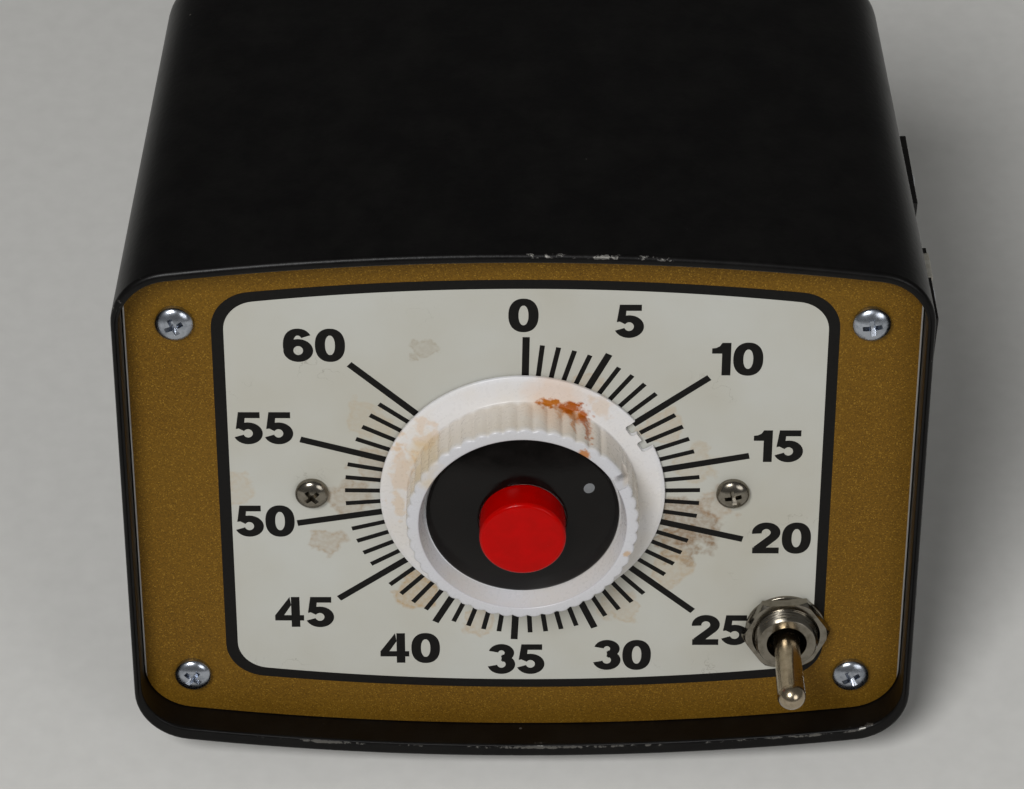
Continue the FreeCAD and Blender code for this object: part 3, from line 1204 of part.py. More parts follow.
node("outlet_tape", FRONT_OUTLET,
     fuse(block(tape_left, tape_right, flange_end, flange_end + " + tape_thick", "outlet_seat",
                FLANGE_TOP + " + tape_thick"),
          block(tape_left, tape_right, flange_end + " - small_head_radius", flange_end + " + tape_thick",
                FLANGE_TOP, FLANGE_TOP + " + tape_thick")))

# ---------------------------------------------------------------- back of the case

BACK = Placement(Vector(-size("grommet_x"), size("back_depth"), size("grommet_height")),
                 Rotation(Vector(1, 0, 0), -90))
node("cord_grommet", FLOOR.multiply(BACK), turned("Grommet", [
    ("grommet_bore", "grommet_flange_thick"), ("grommet_flange - grommet_bevel", "grommet_flange_thick"),
    ("grommet_flange", "grommet_flange_thick / 2"), ("grommet_flange", "0"), ("grommet_neck", "0"),
    ("grommet_neck", "-case_wall"), ("grommet_flange", "-case_wall"),
    ("grommet_flange", "-case_wall - grommet_flange_thick / 2"),
    ("grommet_flange - grommet_bevel", "-case_wall - grommet_flange_thick"),
    ("grommet_bore", "-case_wall - grommet_flange_thick"),
]))

STRIP_LEFT = "grommet_flange + strip_gap - grommet_x"
STRIP_FRONT = "back_depth - case_wall - strip_depth"
strip_places = ["%s + strip_length * (%d + 0.5) / terminal_count" % (STRIP_LEFT, place_number)
                for place_number in range(int(size("terminal_count")))]
node("terminal_strip", FLOOR, block(STRIP_LEFT, STRIP_LEFT + " + strip_length", STRIP_FRONT,
                                    "back_depth - case_wall", "strip_up", "strip_up + strip_height"))
node("strip_terminals", FLOOR, *[block("%s - terminal_size / 2" % middle, "%s + terminal_size / 2" % middle,
                                       STRIP_FRONT + " - terminal_thick", STRIP_FRONT,
                                       "strip_up + strip_height / 2 - terminal_size / 2",
                                       "strip_up + strip_height / 2 + terminal_size / 2")
                                 for middle in strip_places])
strip_heads = []
for middle in strip_places:
    head = doc.addObject("Part::Compound", "StripHead")
    head.Links = [rod("small_head_radius", "0", "small_head_height")]
    head.Placement = Placement(Vector(size(middle), size(STRIP_FRONT + " - terminal_thick"),
                                      size("strip_up + strip_height / 2")),
                               Rotation(Vector(1, 0, 0), 90))
    strip_heads.append(head)
node("strip_screws", FLOOR, *strip_heads)

# ---------------------------------------------------------------- checking and writing the pieces

doc.recompute()
for thing in doc.Objects:
    if "Invalid" in thing.State or "Error" in thing.State:
        raise RuntimeError("%s failed: %s" % (thing.Label, thing.State))
for thing in NODES:
    if thing.Shape.isNull() or not thing.Shape.isValid():
        raise RuntimeError("%s has no sound shape" % thing.Label)
os.makedirs("parts", exist_ok=True)
for thing in NODES:
    thing.Shape.exportStep("parts/%s.step" % thing.Label)
whole = Part.Compound([thing.Shape for thing in NODES]).optimalBoundingBox()
print("%d pieces, box %.2f to %.2f, %.2f to %.2f, %.2f to %.2f mm" % (
    len(NODES), whole.XMin, whole.XMax, whole.YMin, whole.YMax, whole.ZMin, whole.ZMax))
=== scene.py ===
import json
import math

import bmesh
import bpy
import numpy as np
from bpy.props import FloatProperty, FloatVectorProperty, IntProperty, PointerProperty
from mathutils import Matrix


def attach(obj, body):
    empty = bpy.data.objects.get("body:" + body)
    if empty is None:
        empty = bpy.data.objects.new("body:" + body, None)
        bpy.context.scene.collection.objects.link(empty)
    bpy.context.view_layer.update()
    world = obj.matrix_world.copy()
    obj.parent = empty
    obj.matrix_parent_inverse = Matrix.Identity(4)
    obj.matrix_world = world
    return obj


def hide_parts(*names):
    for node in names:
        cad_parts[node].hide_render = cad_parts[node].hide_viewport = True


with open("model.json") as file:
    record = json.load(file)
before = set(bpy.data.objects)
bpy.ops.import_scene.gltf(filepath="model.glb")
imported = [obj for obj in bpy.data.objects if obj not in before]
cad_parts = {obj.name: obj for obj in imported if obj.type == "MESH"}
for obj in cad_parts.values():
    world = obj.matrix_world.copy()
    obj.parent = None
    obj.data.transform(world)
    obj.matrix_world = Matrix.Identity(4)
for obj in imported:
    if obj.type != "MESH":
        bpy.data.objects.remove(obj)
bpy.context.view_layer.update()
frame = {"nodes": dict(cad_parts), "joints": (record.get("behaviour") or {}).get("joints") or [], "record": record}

bl_info = {
    "name": "Enlarger Timer",
    "version": (1, 0, 0),
    "blender": (4, 5, 0),
    "location": "View3D > Sidebar > Timer",
    "description": "Dresses the enlarger timer's frame with its finished surfaces",
    "category": "Object",
}

MM = 0.001
JOINTS = {joint["name"]: joint for joint in frame["joints"]}
SLOTS = {part["node"]: part["material_slot"] for part in frame["record"]["subparts"]}

# Frames of four columns: across, up, out and origin, in metres. The face frame starts in the
# middle of the dial, and the floor frame on the table under it. The toggle's frame leans like the
# face and starts at its lever's pivot. The back frame looks out of the back wall, and starts in the
# middle of the supply cord's bore: 40 mm to the left of the dial's middle and 95 mm behind it, and
# 26 mm above the table.
CENTRE = np.array(JOINTS["knob_turn"]["pos_m"])
OUT = -np.array(JOINTS["knob_turn"]["axis"])
UP = np.array((0.0, OUT[2], -OUT[1]))
FACE = np.column_stack([(1.0, 0.0, 0.0), UP, OUT, CENTRE])
FLOOR = np.column_stack([np.eye(3), (CENTRE[0], CENTRE[1], 0.0)])
LEAN = math.atan2(OUT[2], -OUT[1])
DIAL_HEIGHT = CENTRE[2] / MM
TOGGLE = FACE.copy()
TOGGLE[:, 3] = JOINTS["toggle_throw"]["pos_m"]
BACK = np.column_stack([(1.0, 0.0, 0.0), (0.0, 0.0, -1.0), (0.0, 1.0, 0.0),
                        (CENTRE[0] - 0.040, CENTRE[1] + 0.095, 0.026)])


# ---------------------------------------------------------------- colour and nodes

def linear(code):
    """Linear red, green and blue of an sRGB hex value."""
    parts = np.array([int(code[i:i + 2], 16) for i in (1, 3, 5)]) / 255.0
    shade = np.where(parts <= 0.04045, parts / 12.92, ((parts + 0.055) / 1.055) ** 2.4)
    return tuple(float(part) for part in shade)


def rgba(colour):
    """A colour with an alpha of one, from a hex value or from red, green and blue."""
    parts = linear(colour) if isinstance(colour, str) else tuple(colour)[:3]
    return (*parts, 1.0)


def add(tree, kind, inputs, out=0, **settings):
    """Adds a node, sets it up, sets or links its inputs, and gives one of its outputs."""
    node = tree.nodes.new("ShaderNode" + kind)
    for key, value in settings.items():
        setattr(node, key, value)
    for key, value in inputs.items():
        if isinstance(value, bpy.types.NodeSocket):
            tree.links.new(value, node.inputs[key])
        else:
            node.inputs[key].default_value = value
    return node.outputs[out]


def finish_of(name, colour, roughness, metallic=0.0, **sockets):
    """A new material: its tree and a function that links a value to its Principled shader."""
    material = bpy.data.materials.new(name)
    material.use_nodes = True
    tree = material.node_tree
    shader = tree.nodes["Principled BSDF"]
    plain = {"Base Color": rgba(colour), "Roughness": roughness, "Metallic": metallic}
    plain.update({key.replace("_", " "): value for key, value in sockets.items()})
    for key, value in plain.items():
        shader.inputs[key].default_value = value

    def drive(**links):
        for key, value in links.items():
            tree.links.new(value, shader.inputs[key.replace("_", " ")])

    return material, tree, drive


def face_place(tree):
    """Millimetres across, up and out of the face, from the middle of the dial."""
    return add(tree, "Mapping", {"Vector": add(tree, "TexCoord", {}, "Object"),
                                 "Location": tuple(CENTRE),
                                 "Rotation": (math.pi / 2 - LEAN, 0.0, 0.0),
                                 "Scale": (MM, MM, MM)}, vector_type="TEXTURE")


def clouds(tree, place, grain, start, end, low=0.0, high=1.0, **noise):
    """A cloudy pattern: noise of a grain in the place's own unit, taken through a ramp that gives the
    low value where the noise is at the start, and the high value where it is at the end."""
    cloud = add(tree, "TexNoise", {"Vector": place, "Scale": 1 / grain, **noise})
    return add(tree, "MapRange", {"Value": cloud, "From Min": start, "From Max": end, "To Min": low,
                                  "To Max": high})


def blot(tree, place, spot, radius, ragged, squeeze=(1.0, 1.0, 1.0)):
    """One within half a spot's radius and nought past its ragged edge: the distance from the spot,
    each way multiplied by a squeeze, plus noise, taken through a ramp. The place is in millimetres."""
    wander = clouds(tree, place, radius / 1.1, 0.3, 0.7, -ragged, ragged, Detail=4.0)
    away = add(tree, "VectorMath", {0: place, 1: spot}, operation="SUBTRACT")
    away = add(tree, "VectorMath", {0: away, 1: squeeze}, operation="MULTIPLY")
    away = add(tree, "VectorMath", {0: away}, "Value", operation="LENGTH")
    away = add(tree, "Math", {0: away, 1: wander}, operation="ADD")
    return add(tree, "MapRange", {"Value": away, "From Min": radius, "From Max": radius / 2})


# ---------------------------------------------------------------- finishes

def black_enamel():
    """Stoved black enamel on a zinc casting: near black and half gloss with a faint orange peel, greyed by dust,
    chipped to bare metal where the case's edge attribute marks an outer edge, and with a painted highlight line in
    the same grey along the rim's low inner edge."""
    look = bpy.context.scene.timer_colours
    material, tree, drive = finish_of("stoved black enamel", look.enamel, 0.3,
                                      Specular_IOR_Level=0.16)
    place = add(tree, "TexCoord", {}, "Object")
    dull = clouds(tree, place, 9 * MM, 0.4, 0.75, Detail=6.0, Roughness=0.7)
    # Specks of dust sit 5 mm apart. Each reaches 0.07 of that from its middle at most.
    away = add(tree, "TexVoronoi", {"Vector": place, "Scale": 1 / (5 * MM)})
    size = clouds(tree, place, 14 * MM, 0.5, 0.8, 0.0, 0.07)
    speck = add(tree, "Math", {0: size, 1: away}, operation="SUBTRACT")
    speck = add(tree, "MapRange", {"Value": speck, "From Min": -0.01, "From Max": 0.01, "To Max": 0.4})
    # Chips on the outer edges, and the painted highlight line on the rim's low inner edge, start where the edge
    # attribute and two noises add up to more than 2.21.
    edge = add(tree, "Attribute", {}, "Fac", attribute_name="wear_and_highlight")
    ragged = add(tree, "TexNoise", {"Vector": place, "Scale": 1 / (1.5 * MM), "Detail": 5.0,
                                    "Roughness": 0.65})
    patchy = add(tree, "TexNoise", {"Vector": place, "Scale": 1 / (17 * MM), "Detail": 2.0})
    chance = add(tree, "Math", {0: ragged, 1: patchy}, operation="ADD")
    chance = add(tree, "Math", {0: chance, 1: edge}, operation="ADD")
    chip_and_highlight = add(tree, "MapRange", {"Value": chance, "From Min": 2.21, "From Max": 2.27})
    shade = rgba(look.enamel)
    # The last coat's grey is both the chips' bare metal and the painted highlight line on the rim's low inner
    # edge.
    for amount, tint in ((dull, "#100f0e"), (speck, "#6d6862"), (chip_and_highlight, "#6f6d69")):
        shade = add(tree, "Mix", {"Factor": amount, 6: shade, 7: rgba(tint)}, 2, data_type="RGBA")
    gloss = add(tree, "MapRange", {"Value": dull, "To Min": 0.32, "To Max": 0.38})
    peel = add(tree, "TexNoise", {"Vector": place, "Scale": 1 / (1.1 * MM)})
    height = add(tree, "Math", {0: peel, 1: chip_and_highlight}, operation="SUBTRACT")
    drive(Base_Color=shade, Roughness=gloss,
          Metallic=add(tree, "Math", {0: chip_and_highlight, 1: 0.9}, operation="MULTIPLY"),
          Normal=add(tree, "Bump", {"Height": height, "Distance": 0.03 * MM}))
    return material


def bronze_paint():
    """Metal-flake bronze paint rolled on an aluminium plate: an olive-gold ground, flakes of random brightness,
    and a painted glint on the brightest tenth of them. The flakes are drawn 0.19 mm apart so that they show."""
    look = bpy.context.scene.timer_colours
    material, tree, drive = finish_of("metal-flake bronze paint", look.bronze, 0.5, 0.3,
                                      Specular_IOR_Level=0.2)
    place = face_place(tree)
    flake = add(tree, "TexVoronoi", {"Vector": place, "Scale": 1 / 0.19}, "Color")
    bright = add(tree, "SeparateColor", {"Color": flake}, "Red")
    tilt = add(tree, "SeparateColor", {"Color": flake}, "Green")
    body = add(tree, "MapRange", {"Value": bright, "To Max": 0.75})
    # Painted highlight: a pale gold glint on the flakes whose random value is highest, whichever way the light
    # falls.
    glint = add(tree, "MapRange", {"Value": bright, "From Min": 0.9, "From Max": 1.0, "To Max": 0.55})
    cloud = clouds(tree, place, 26, 0.35, 0.65, Detail=3.0)
    fine = clouds(tree, place, 0.5, 0.3, 0.7, 0.0, 0.5)
    # The sheared sides of the plate are bare: its last quarter of a millimetre each way.
    across = add(tree, "SeparateXYZ", {"Vector": place}, "X")
    across = add(tree, "Math", {0: across}, operation="ABSOLUTE")
    sheared = add(tree, "MapRange", {"Value": across, "From Min": PLATE_EDGE[0] - 0.28,
                                     "From Max": PLATE_EDGE[0] - 0.16})
    shade = rgba(look.bronze)
    for amount, tint in ((cloud, "#5e430f"), (body, "#876219"), (fine, "#7a5812"),
                         (glint, "#b8903c"), (sheared, "#c9c8c4")):
        shade = add(tree, "Mix", {"Factor": amount, 6: shade, 7: rgba(tint)}, 2, data_type="RGBA")
    metal = add(tree, "MapRange", {"Value": glint, "To Min": 0.25, "To Max": 0.9})
    metal = add(tree, "Math", {0: metal, 1: sheared}, operation="MAXIMUM")
    drive(Base_Color=shade, Metallic=metal,
          Normal=add(tree, "Bump", {"Height": tilt, "Distance": 0.012 * MM}))
    return material


# Marks on the printed field: across, up, radius, raggedness, strength, colour.
STAINS = (
    (-31.5, -1.5, 4.6, 1.5, 0.62, "#8f7350"), (-36.0, -11.0, 3.4, 1.2, 0.6, "#9a7f5c"),
    (-27.0, 6.0, 4.0, 2.2, 0.5, "#9a7c58"), (-52.0, 1.0, 3.6, 2.0, 0.4, "#b49a72"),
    (31.0, -7.0, 6.2, 2.8, 0.85, "#7c5f3e"), (29.0, -12.0, 4.6, 2.4, 0.75, "#80633f"),
    (35.5, -3.0, 4.0, 1.8, 0.5, "#a08260"), (27.0, -17.0, 4.6, 2.2, 0.5, "#ac9068"),
    (31.5, 6.0, 4.5, 2.0, 0.4, "#ad9268"), (25.0, 14.5, 4.0, 2.0, 0.4, "#b09060"),
    (-19.5, -23.0, 4.8, 2.2, 0.7, "#ab8446"), (-8.0, -30.0, 3.6, 1.8, 0.45, "#b09060"),
    (18.0, -26.5, 4.0, 2.2, 0.45, "#ad9268"), (12.0, 23.5, 3.2, 1.6, 0.4, "#b08f60"),
    (-17.5, 31.5, 2.6, 1.4, 0.5, "#94856c"), (-27.5, 16.0, 4.4, 2.4, 0.35, "#b0966c"),
)


def printed_cream():
    """Screen-printed cream ink, yellowed and soiled: soft clouds, speckled tan marks that dried with
    a darker edge, and hairline cracks."""
    look = bpy.context.scene.timer_colours
    material, tree, drive = finish_of("screen-printed cream ink", look.cream, 0.5)
    place = face_place(tree)
    coats = [(clouds(tree, place, 30, 0.35, 0.7, Detail=4.0), "#b3b0a4")]
    speckle = clouds(tree, place, 0.8, 0.35, 0.6, 0.55, 1.15, Detail=3.0)
    for across, up, radius, ragged, strength, tint in STAINS:
        mark = blot(tree, place, (across, up, 0.0), radius, ragged)
        # The dried edge is where the mark rises from nought to one.
        rise = add(tree, "MapRange", {"Value": mark, "From Max": 0.5, "To Max": 0.85 * strength})
        fall = add(tree, "MapRange", {"Value": mark, "From Min": 0.5, "From Max": 1.0,
                                      "To Min": 1.0, "To Max": 0.6})
        amount = add(tree, "Math", {0: rise, 1: fall}, operation="MULTIPLY")
        coats.append((add(tree, "Math", {0: amount, 1: speckle}, operation="MULTIPLY"), tint))
    # A crack follows the line where slow noise crosses its middle, in patches.
    vein = add(tree, "TexNoise", {"Vector": place, "Scale": 1 / 5, "Detail": 5.0})
    vein = add(tree, "Math", {0: vein, 1: 0.5}, operation="SUBTRACT")
    vein = add(tree, "Math", {0: vein}, operation="ABSOLUTE")
    vein = add(tree, "MapRange", {"Value": vein, "From Min": 0.006, "From Max": 0.0})
    where = clouds(tree, place, 16, 0.6, 0.7, 0.0, 0.5)
    coats.append((add(tree, "Math", {0: vein, 1: where}, operation="MULTIPLY"), "#5d5140"))
    shade = rgba(look.cream)
    for amount, tint in coats:
        shade = add(tree, "Mix", {"Factor": amount, 6: shade, 7: rgba(tint)}, 2, data_type="RGBA")
    fine = add(tree, "TexNoise", {"Vector": place, "Scale": 1 / 0.5})
    gloss = add(tree, "MapRange", {"Value": fine, "From Min": 0.3, "From Max": 0.7, "To Min": 0.42,
                                   "To Max": 0.56})
    drive(Base_Color=shade, Roughness=gloss,
          Normal=add(tree, "Bump", {"Height": fine, "Distance": 0.01 * MM}))
    return material


def printed_black():
    """Screen-printed black ink: a warm black whose screen leaves a fine, uneven gloss."""
    look = bpy.context.scene.timer_colours
    material, tree, drive = finish_of("screen-printed black ink", look.ink, 0.5,
                                      Specular_IOR_Level=0.18)
    fine = add(tree, "TexNoise", {"Vector": face_place(tree), "Scale": 1 / 0.7})
    even = add(tree, "MapRange", {"Value": fine, "From Min": 0.35, "From Max": 0.65})
    shade = add(tree, "Mix", {"Factor": even, 6: rgba(look.ink), 7: rgba("#100e0c")}, 2,
                data_type="RGBA")
    gloss = add(tree, "MapRange", {"Value": even, "To Min": 0.38, "To Max": 0.54})
    drive(Base_Color=shade, Roughness=gloss,
          Normal=add(tree, "Bump", {"Height": fine, "Distance": 0.006 * MM}))
    return material


# Grime on the knob: across, up, out, radius, raggedness, strength, colour, squeeze.
GRIME = (
    (6.5, 21.5, 1.4, 7.5, 2.0, 0.35, "#dcae80", (1.0, 1.0, 1.0)),
    (5.0, 20.9, 1.6, 1.15, 0.5, 1.0, "#b0640c", (0.42, 1.0, 0.7)),
    (8.6, 19.7, 1.7, 1.3, 0.6, 1.0, "#a45206", (0.45, 0.9, 0.7)),
    (10.9, 18.5, 2.2, 1.3, 0.5, 1.0, "#a85606", (1.0, 0.8, 0.6)),
    (11.9, 17.7, 5.4, 1.15, 0.5, 1.0, "#b0600a", (1.0, 1.0, 0.24)),
    (9.3, 19.1, 4.4, 1.1, 0.6, 0.75, "#bc7626", (1.0, 1.0, 0.3)),
    (6.9, 20.2, 3.6, 1.0, 0.6, 0.45, "#c4883c", (1.0, 1.0, 0.4)),
    (10.7, 15.7, 10.4, 1.2, 0.5, 0.9, "#b46c18", (0.7, 1.0, 1.0)),
    (19.0, -6.4, 10.4, 0.8, 0.3, 0.6, "#b98c45", (1.0, 1.0, 1.0)),
    (-21.4, 6.4, 1.2, 2.6, 2.2, 0.3, "#cc9c54", (1.0, 0.4, 1.0)),
    (-18.4, 12.2, 1.2, 2.6, 2.2, 0.3, "#cc9c54", (0.6, 0.6, 1.0)),
    (-17.8, 11.0, 6.0, 6.0, 3.0, 0.4, "#cdb070", (1.0, 1.0, 1.0)),
    (-22.6, -2.0, 1.2, 2.0, 1.2, 0.35, "#cfa662", (1.0, 0.6, 1.0)),
    (14.2, 19.6, 1.2, 2.6, 1.4, 0.35, "#cda876", (1.0, 1.0, 1.0)),
)


def white_styrene():
    """Injection-moulded white polystyrene, aged: half gloss and clouded, yellower on the fluted wall, greyer on
    the crown, with rust-brown grime in one place."""
    look = bpy.context.scene.timer_colours
    material, tree, drive = finish_of("moulded white polystyrene", look.knob, 0.3)
    place = face_place(tree)
    cloud = clouds(tree, place, 12, 0.4, 0.7, Detail=4.0)
    out = add(tree, "SeparateXYZ", {"Vector": place}, "Z")
    from_axis = add(tree, "VectorMath", {0: place, 1: (1.0, 1.0, 0.0)}, operation="MULTIPLY")
    from_axis = add(tree, "VectorMath", {0: from_axis}, "Value", operation="LENGTH")
    low = add(tree, "MapRange", {"Value": out, "From Min": 0.8, "From Max": 2.4, "To Max": 0.55})
    high = add(tree, "MapRange", {"Value": out, "From Min": 10.2, "From Max": 8.8})
    wall = add(tree, "Math", {0: low, 1: high}, operation="MULTIPLY")
    outside = add(tree, "MapRange", {"Value": from_axis, "From Min": 19.6, "From Max": 20.2})
    wall = add(tree, "Math", {0: wall, 1: outside}, operation="MULTIPLY")
    crown = add(tree, "MapRange", {"Value": out, "From Min": 10.0, "From Max": 10.3, "To Max": 0.8})
    coats = [(cloud, "#dad5ce"), (wall, "#d6c8b2"), (crown, "#c0c0c4")]
    for across, up, height, radius, ragged, strength, tint, squeeze in GRIME:
        mark = blot(tree, place, (across, up, height), radius, ragged, squeeze)
        coats.append((add(tree, "Math", {0: mark, 1: strength}, operation="MULTIPLY"), tint))
    shade = rgba(look.knob)
    for amount, tint in coats:
        shade = add(tree, "Mix", {"Factor": amount, 6: shade, 7: rgba(tint)}, 2, data_type="RGBA")
    fine = add(tree, "TexNoise", {"Vector": place, "Scale": 1 / 0.8})
    gloss = add(tree, "MapRange", {"Value": fine, "From Min": 0.3, "From Max": 0.7, "To Min": 0.24,
                                   "To Max": 0.36})
    drive(Base_Color=shade, Roughness=gloss,
          Normal=add(tree, "Bump", {"Height": fine, "Distance": 0.008 * MM}))
    return material


def gloss_moulding(name, colour, second, low, high, shine=0.3):
    """Moulded gloss plastic: coloured through, with the faintest flow clouds of a second colour, and
    handling marks that take its roughness from low to high. Shine is its specular level."""
    material, tree, drive = finish_of(name, colour, (low + high) / 2, Specular_IOR_Level=shine)
    place = add(tree, "TexCoord", {}, "Object")
    rub = add(tree, "TexNoise", {"Vector": place, "Scale": 1 / (3 * MM), "Detail": 5.0, "Roughness": 0.65})
    flow = add(tree, "MapRange", {"Value": rub, "From Min": 0.35, "From Max": 0.65})
    shade = add(tree, "Mix", {"Factor": flow, 6: rgba(colour), 7: rgba(second)}, 2, data_type="RGBA")
    gloss = add(tree, "MapRange", {"Value": rub, "From Min": 0.35, "From Max": 0.7, "To Min": low,
                                   "To Max": high})
    fine = add(tree, "TexNoise", {"Vector": place, "Scale": 1 / (0.6 * MM)})
    drive(Base_Color=shade, Roughness=gloss,
          Normal=add(tree, "Bump", {"Height": fine, "Distance": 0.006 * MM}))
    return material


def plated(name, colour, tarnish, low, high, grain):
    """Plated or turned metal: tool marks with a grain in millimetres, and a tarnish that darkens it
    and dulls its gloss from the low to the high roughness."""
    material, tree, drive = finish_of(name, colour, low, 1.0)
    place = add(tree, "TexCoord", {}, "Object")
    amount = clouds(tree, place, 2.2 * MM, 0.45, 0.75, Detail=6.0, Roughness=0.7)
    shade = add(tree, "Mix", {"Factor": amount, 6: rgba(colour), 7: rgba(tarnish)}, 2, data_type="RGBA")
    gloss = add(tree, "MapRange", {"Value": amount, "To Min": low, "To Max": high})
    marks = add(tree, "TexNoise", {"Vector": place, "Scale": 1 / (grain * MM), "Detail": 3.0})
    drive(Base_Color=shade, Roughness=gloss,
          Normal=add(tree, "Bump", {"Height": marks, "Distance": 0.01 * MM}))
    return material


def dull_moulding(name, colour, second, rough, grain, rise):
    """A dull moulded, taped or rubber surface: its grain, in millimetres, shows between its two
    colours and in its relief."""
    material, tree, drive = finish_of(name, colour, rough)
    place = add(tree, "TexCoord", {}, "Object")
    grains = add(tree, "TexNoise", {"Vector": place, "Scale": 1 / (grain * MM), "Detail": 4.0})
    amount = add(tree, "MapRange", {"Value": grains, "From Min": 0.35, "From Max": 0.65})
    shade = add(tree, "Mix", {"Factor": amount, 6: rgba(colour), 7: rgba(second)}, 2, data_type="RGBA")
    drive(Base_Color=shade, Normal=add(tree, "Bump", {"Height": grains, "Distance": rise * MM}))
    return material


def recipes():
    """Each finish by its slot's name: the function that makes it, and what that is given."""
    look = bpy.context.scene.timer_colours
    return {
        "black_enamel": (black_enamel,),
        "printed_face": (bronze_paint,),
        "cream_ink": (printed_cream,),
        "black_ink": (printed_black,),
        "white_plastic": (white_styrene,),
        "black_disc": (gloss_moulding, "gloss black styrene", look.disc, "#0d0a09", 0.12, 0.24, 0.2),
        "red_plastic": (gloss_moulding, "gloss red styrene", look.button, "#a80300", 0.14, 0.28, 0.1),
        "dot_ink": (gloss_moulding, "grey dot ink", "#77797b", "#6d6f71", 0.35, 0.5),
        "bakelite": (gloss_moulding, "moulded black bakelite", "#100e0c", "#16120f", 0.22, 0.42),
        "steel": (plated, "zinc-plated steel", "#b4b9c2", "#7f858e", 0.2, 0.4, 0.5),
        "nickel": (plated, "nickel-plated brass", "#8a8479", "#605a4e", 0.18, 0.34, 0.8),
        "worn_nickel": (plated, "hand-worn nickel plate", "#b0a28c", "#8b7d66", 0.2, 0.34, 0.8),
        "brass": (plated, "stamped brass", "#b08a4a", "#80602c", 0.22, 0.42, 0.6),
        "motor_tin": (plated, "tinned steel sheet", "#a9a79f", "#7d7b74", 0.28, 0.5, 0.7),
        "magnet": (plated, "pressed ferrite and steel", "#4a4a4c", "#303032", 0.5, 0.7, 0.4),
        "winding": (dull_moulding, "varnished winding tape", "#7a5020", "#5d3a14", 0.55, 0.8, 0.05),
        "black_rubber": (dull_moulding, "moulded black rubber", "#171615", "#24221f", 0.75, 0.7, 0.03),
        "paper_tape": (dull_moulding, "paper tape", "#d6d3c8", "#c2bdae", 0.85, 1.2, 0.03),
        "phenolic": (dull_moulding, "brown phenolic board", "#4a2a15", "#33190b", 0.5, 1.5, 0.02),
    }


# The finishes made so far, by the slot's name.
MADE = {}


def finish(name):
    """A finish by its slot's name, made once."""
    if name not in MADE:
        make, *given = recipes()[name]
        MADE[name] = make(*given)
    return MADE[name]


# ---------------------------------------------------------------- meshes

# A box's corners, from its low ones round to its high ones, and its faces.
BOX_STEPS = np.array([(x, y, z) for z in (0, 1) for x, y in ((0, 0), (1, 0), (1, 1), (0, 1))])
BOX_FACES = [[3, 2, 1, 0], [4, 5, 6, 7], [0, 1, 5, 4], [1, 2, 6, 5], [2, 3, 7, 6], [3, 0, 4, 7]]


def placed(points, place=FACE):
    """Millimetres across, up and out of a frame, taken to the model's metres."""
    return place[:, 3] + (np.asarray(points, float) * MM) @ place[:, :3].T


def settle(thing, look, body, nodes=()):
    """Gives a piece its finish, its body and the nodes that it stands for."""
    thing.data.materials.clear()
    thing.data.materials.append(finish(look))
    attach(thing, body)
    if nodes:
        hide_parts(*nodes)
    return thing


def piece(name, skin, look, body, nodes=(), place=FACE, sharp=35.0):
    """A piece of the timer from a skin in millimetres, smooth but for its sharp edges."""
    thing = bare(name, (placed(skin[0], place), skin[1]))
    thing.data.polygons.foreach_set("use_smooth", np.ones(len(thing.data.polygons), bool))
    thing.data.set_sharp_from_angle(angle=math.radians(sharp))
    return settle(thing, look, body, nodes)


def lofted(rings, ends=True):
    """A skin through closed rings of points, with a fan over each end ring, or joined end to end."""
    rings = np.asarray(rings, float)
    rows, columns = rings.shape[:2]
    row = np.arange(rows - 1 if ends else rows)[:, None]
    column = np.arange(columns)[None, :]
    beside = (column + 1) % columns
    above = (row + 1) % rows
    quads = np.stack([row * columns + column, row * columns + beside,
                      above * columns + beside, above * columns + column], axis=-1).reshape(-1, 4)
    points = rings.reshape(-1, 3)
    faces = quads.tolist()
    if ends:
        loop = np.arange(columns)
        after = (loop + 1) % columns
        low = np.column_stack([after, loop, np.full(columns, len(points))])
        high = np.column_stack([loop, after, np.full(columns, len(points) + 1)])
        high[:, :2] += (rows - 1) * columns
        points = np.vstack([points, rings[0].mean(axis=0), rings[-1].mean(axis=0)])
        faces += low.tolist() + high.tolist()
    return points, faces


def joined(*skins):
    """Several skins as one."""
    points, faces, start = [], [], 0
    for more_points, more_faces in skins:
        points.append(more_points)
        faces += [[index + start for index in face] for face in more_faces]
        start += len(more_points)
    return np.vstack(points), faces


def moved(skin, across, up, turn=0.0):
    """A skin turned about its frame's out axis by degrees, then moved across and up."""
    angle = math.radians(turn)
    spin = np.array(((math.cos(angle), math.sin(angle), 0.0), (-math.sin(angle), math.cos(angle), 0.0),
                     (0.0, 0.0, 1.0)))
    return skin[0] @ spin + (across, up, 0.0), skin[1]


def rounded(profile, steps=5):
    """A profile of (radius, height, rounding) corners in which each rounding is an arc that touches
    both sides of its corner."""
    corners = np.array([corner[:2] for corner in profile], float)
    line = []
    for index, corner in enumerate(profile):
        radius = corner[2] if len(corner) > 2 else 0.0
        here = corners[index]
        if not radius:
            line.append(here[None])
            continue
        before = corners[index - 1] - here
        after = corners[(index + 1) % len(corners)] - here
        before /= np.linalg.norm(before)
        after /= np.linalg.norm(after)
        half = math.acos(float(np.clip(before @ after, -1, 1))) / 2
        middle = (before + after) / np.linalg.norm(before + after) * radius / math.sin(half)
        start = before * radius / math.tan(half) - middle
        end = after * radius / math.tan(half) - middle
        angle = math.pi - 2 * half
        swing = np.linspace(0, 1, steps + 1)[:, None]
        line.append(here + middle + (start * np.sin((1 - swing) * angle)
                                     + end * np.sin(swing * angle)) / math.sin(angle))
    return np.vstack(line)


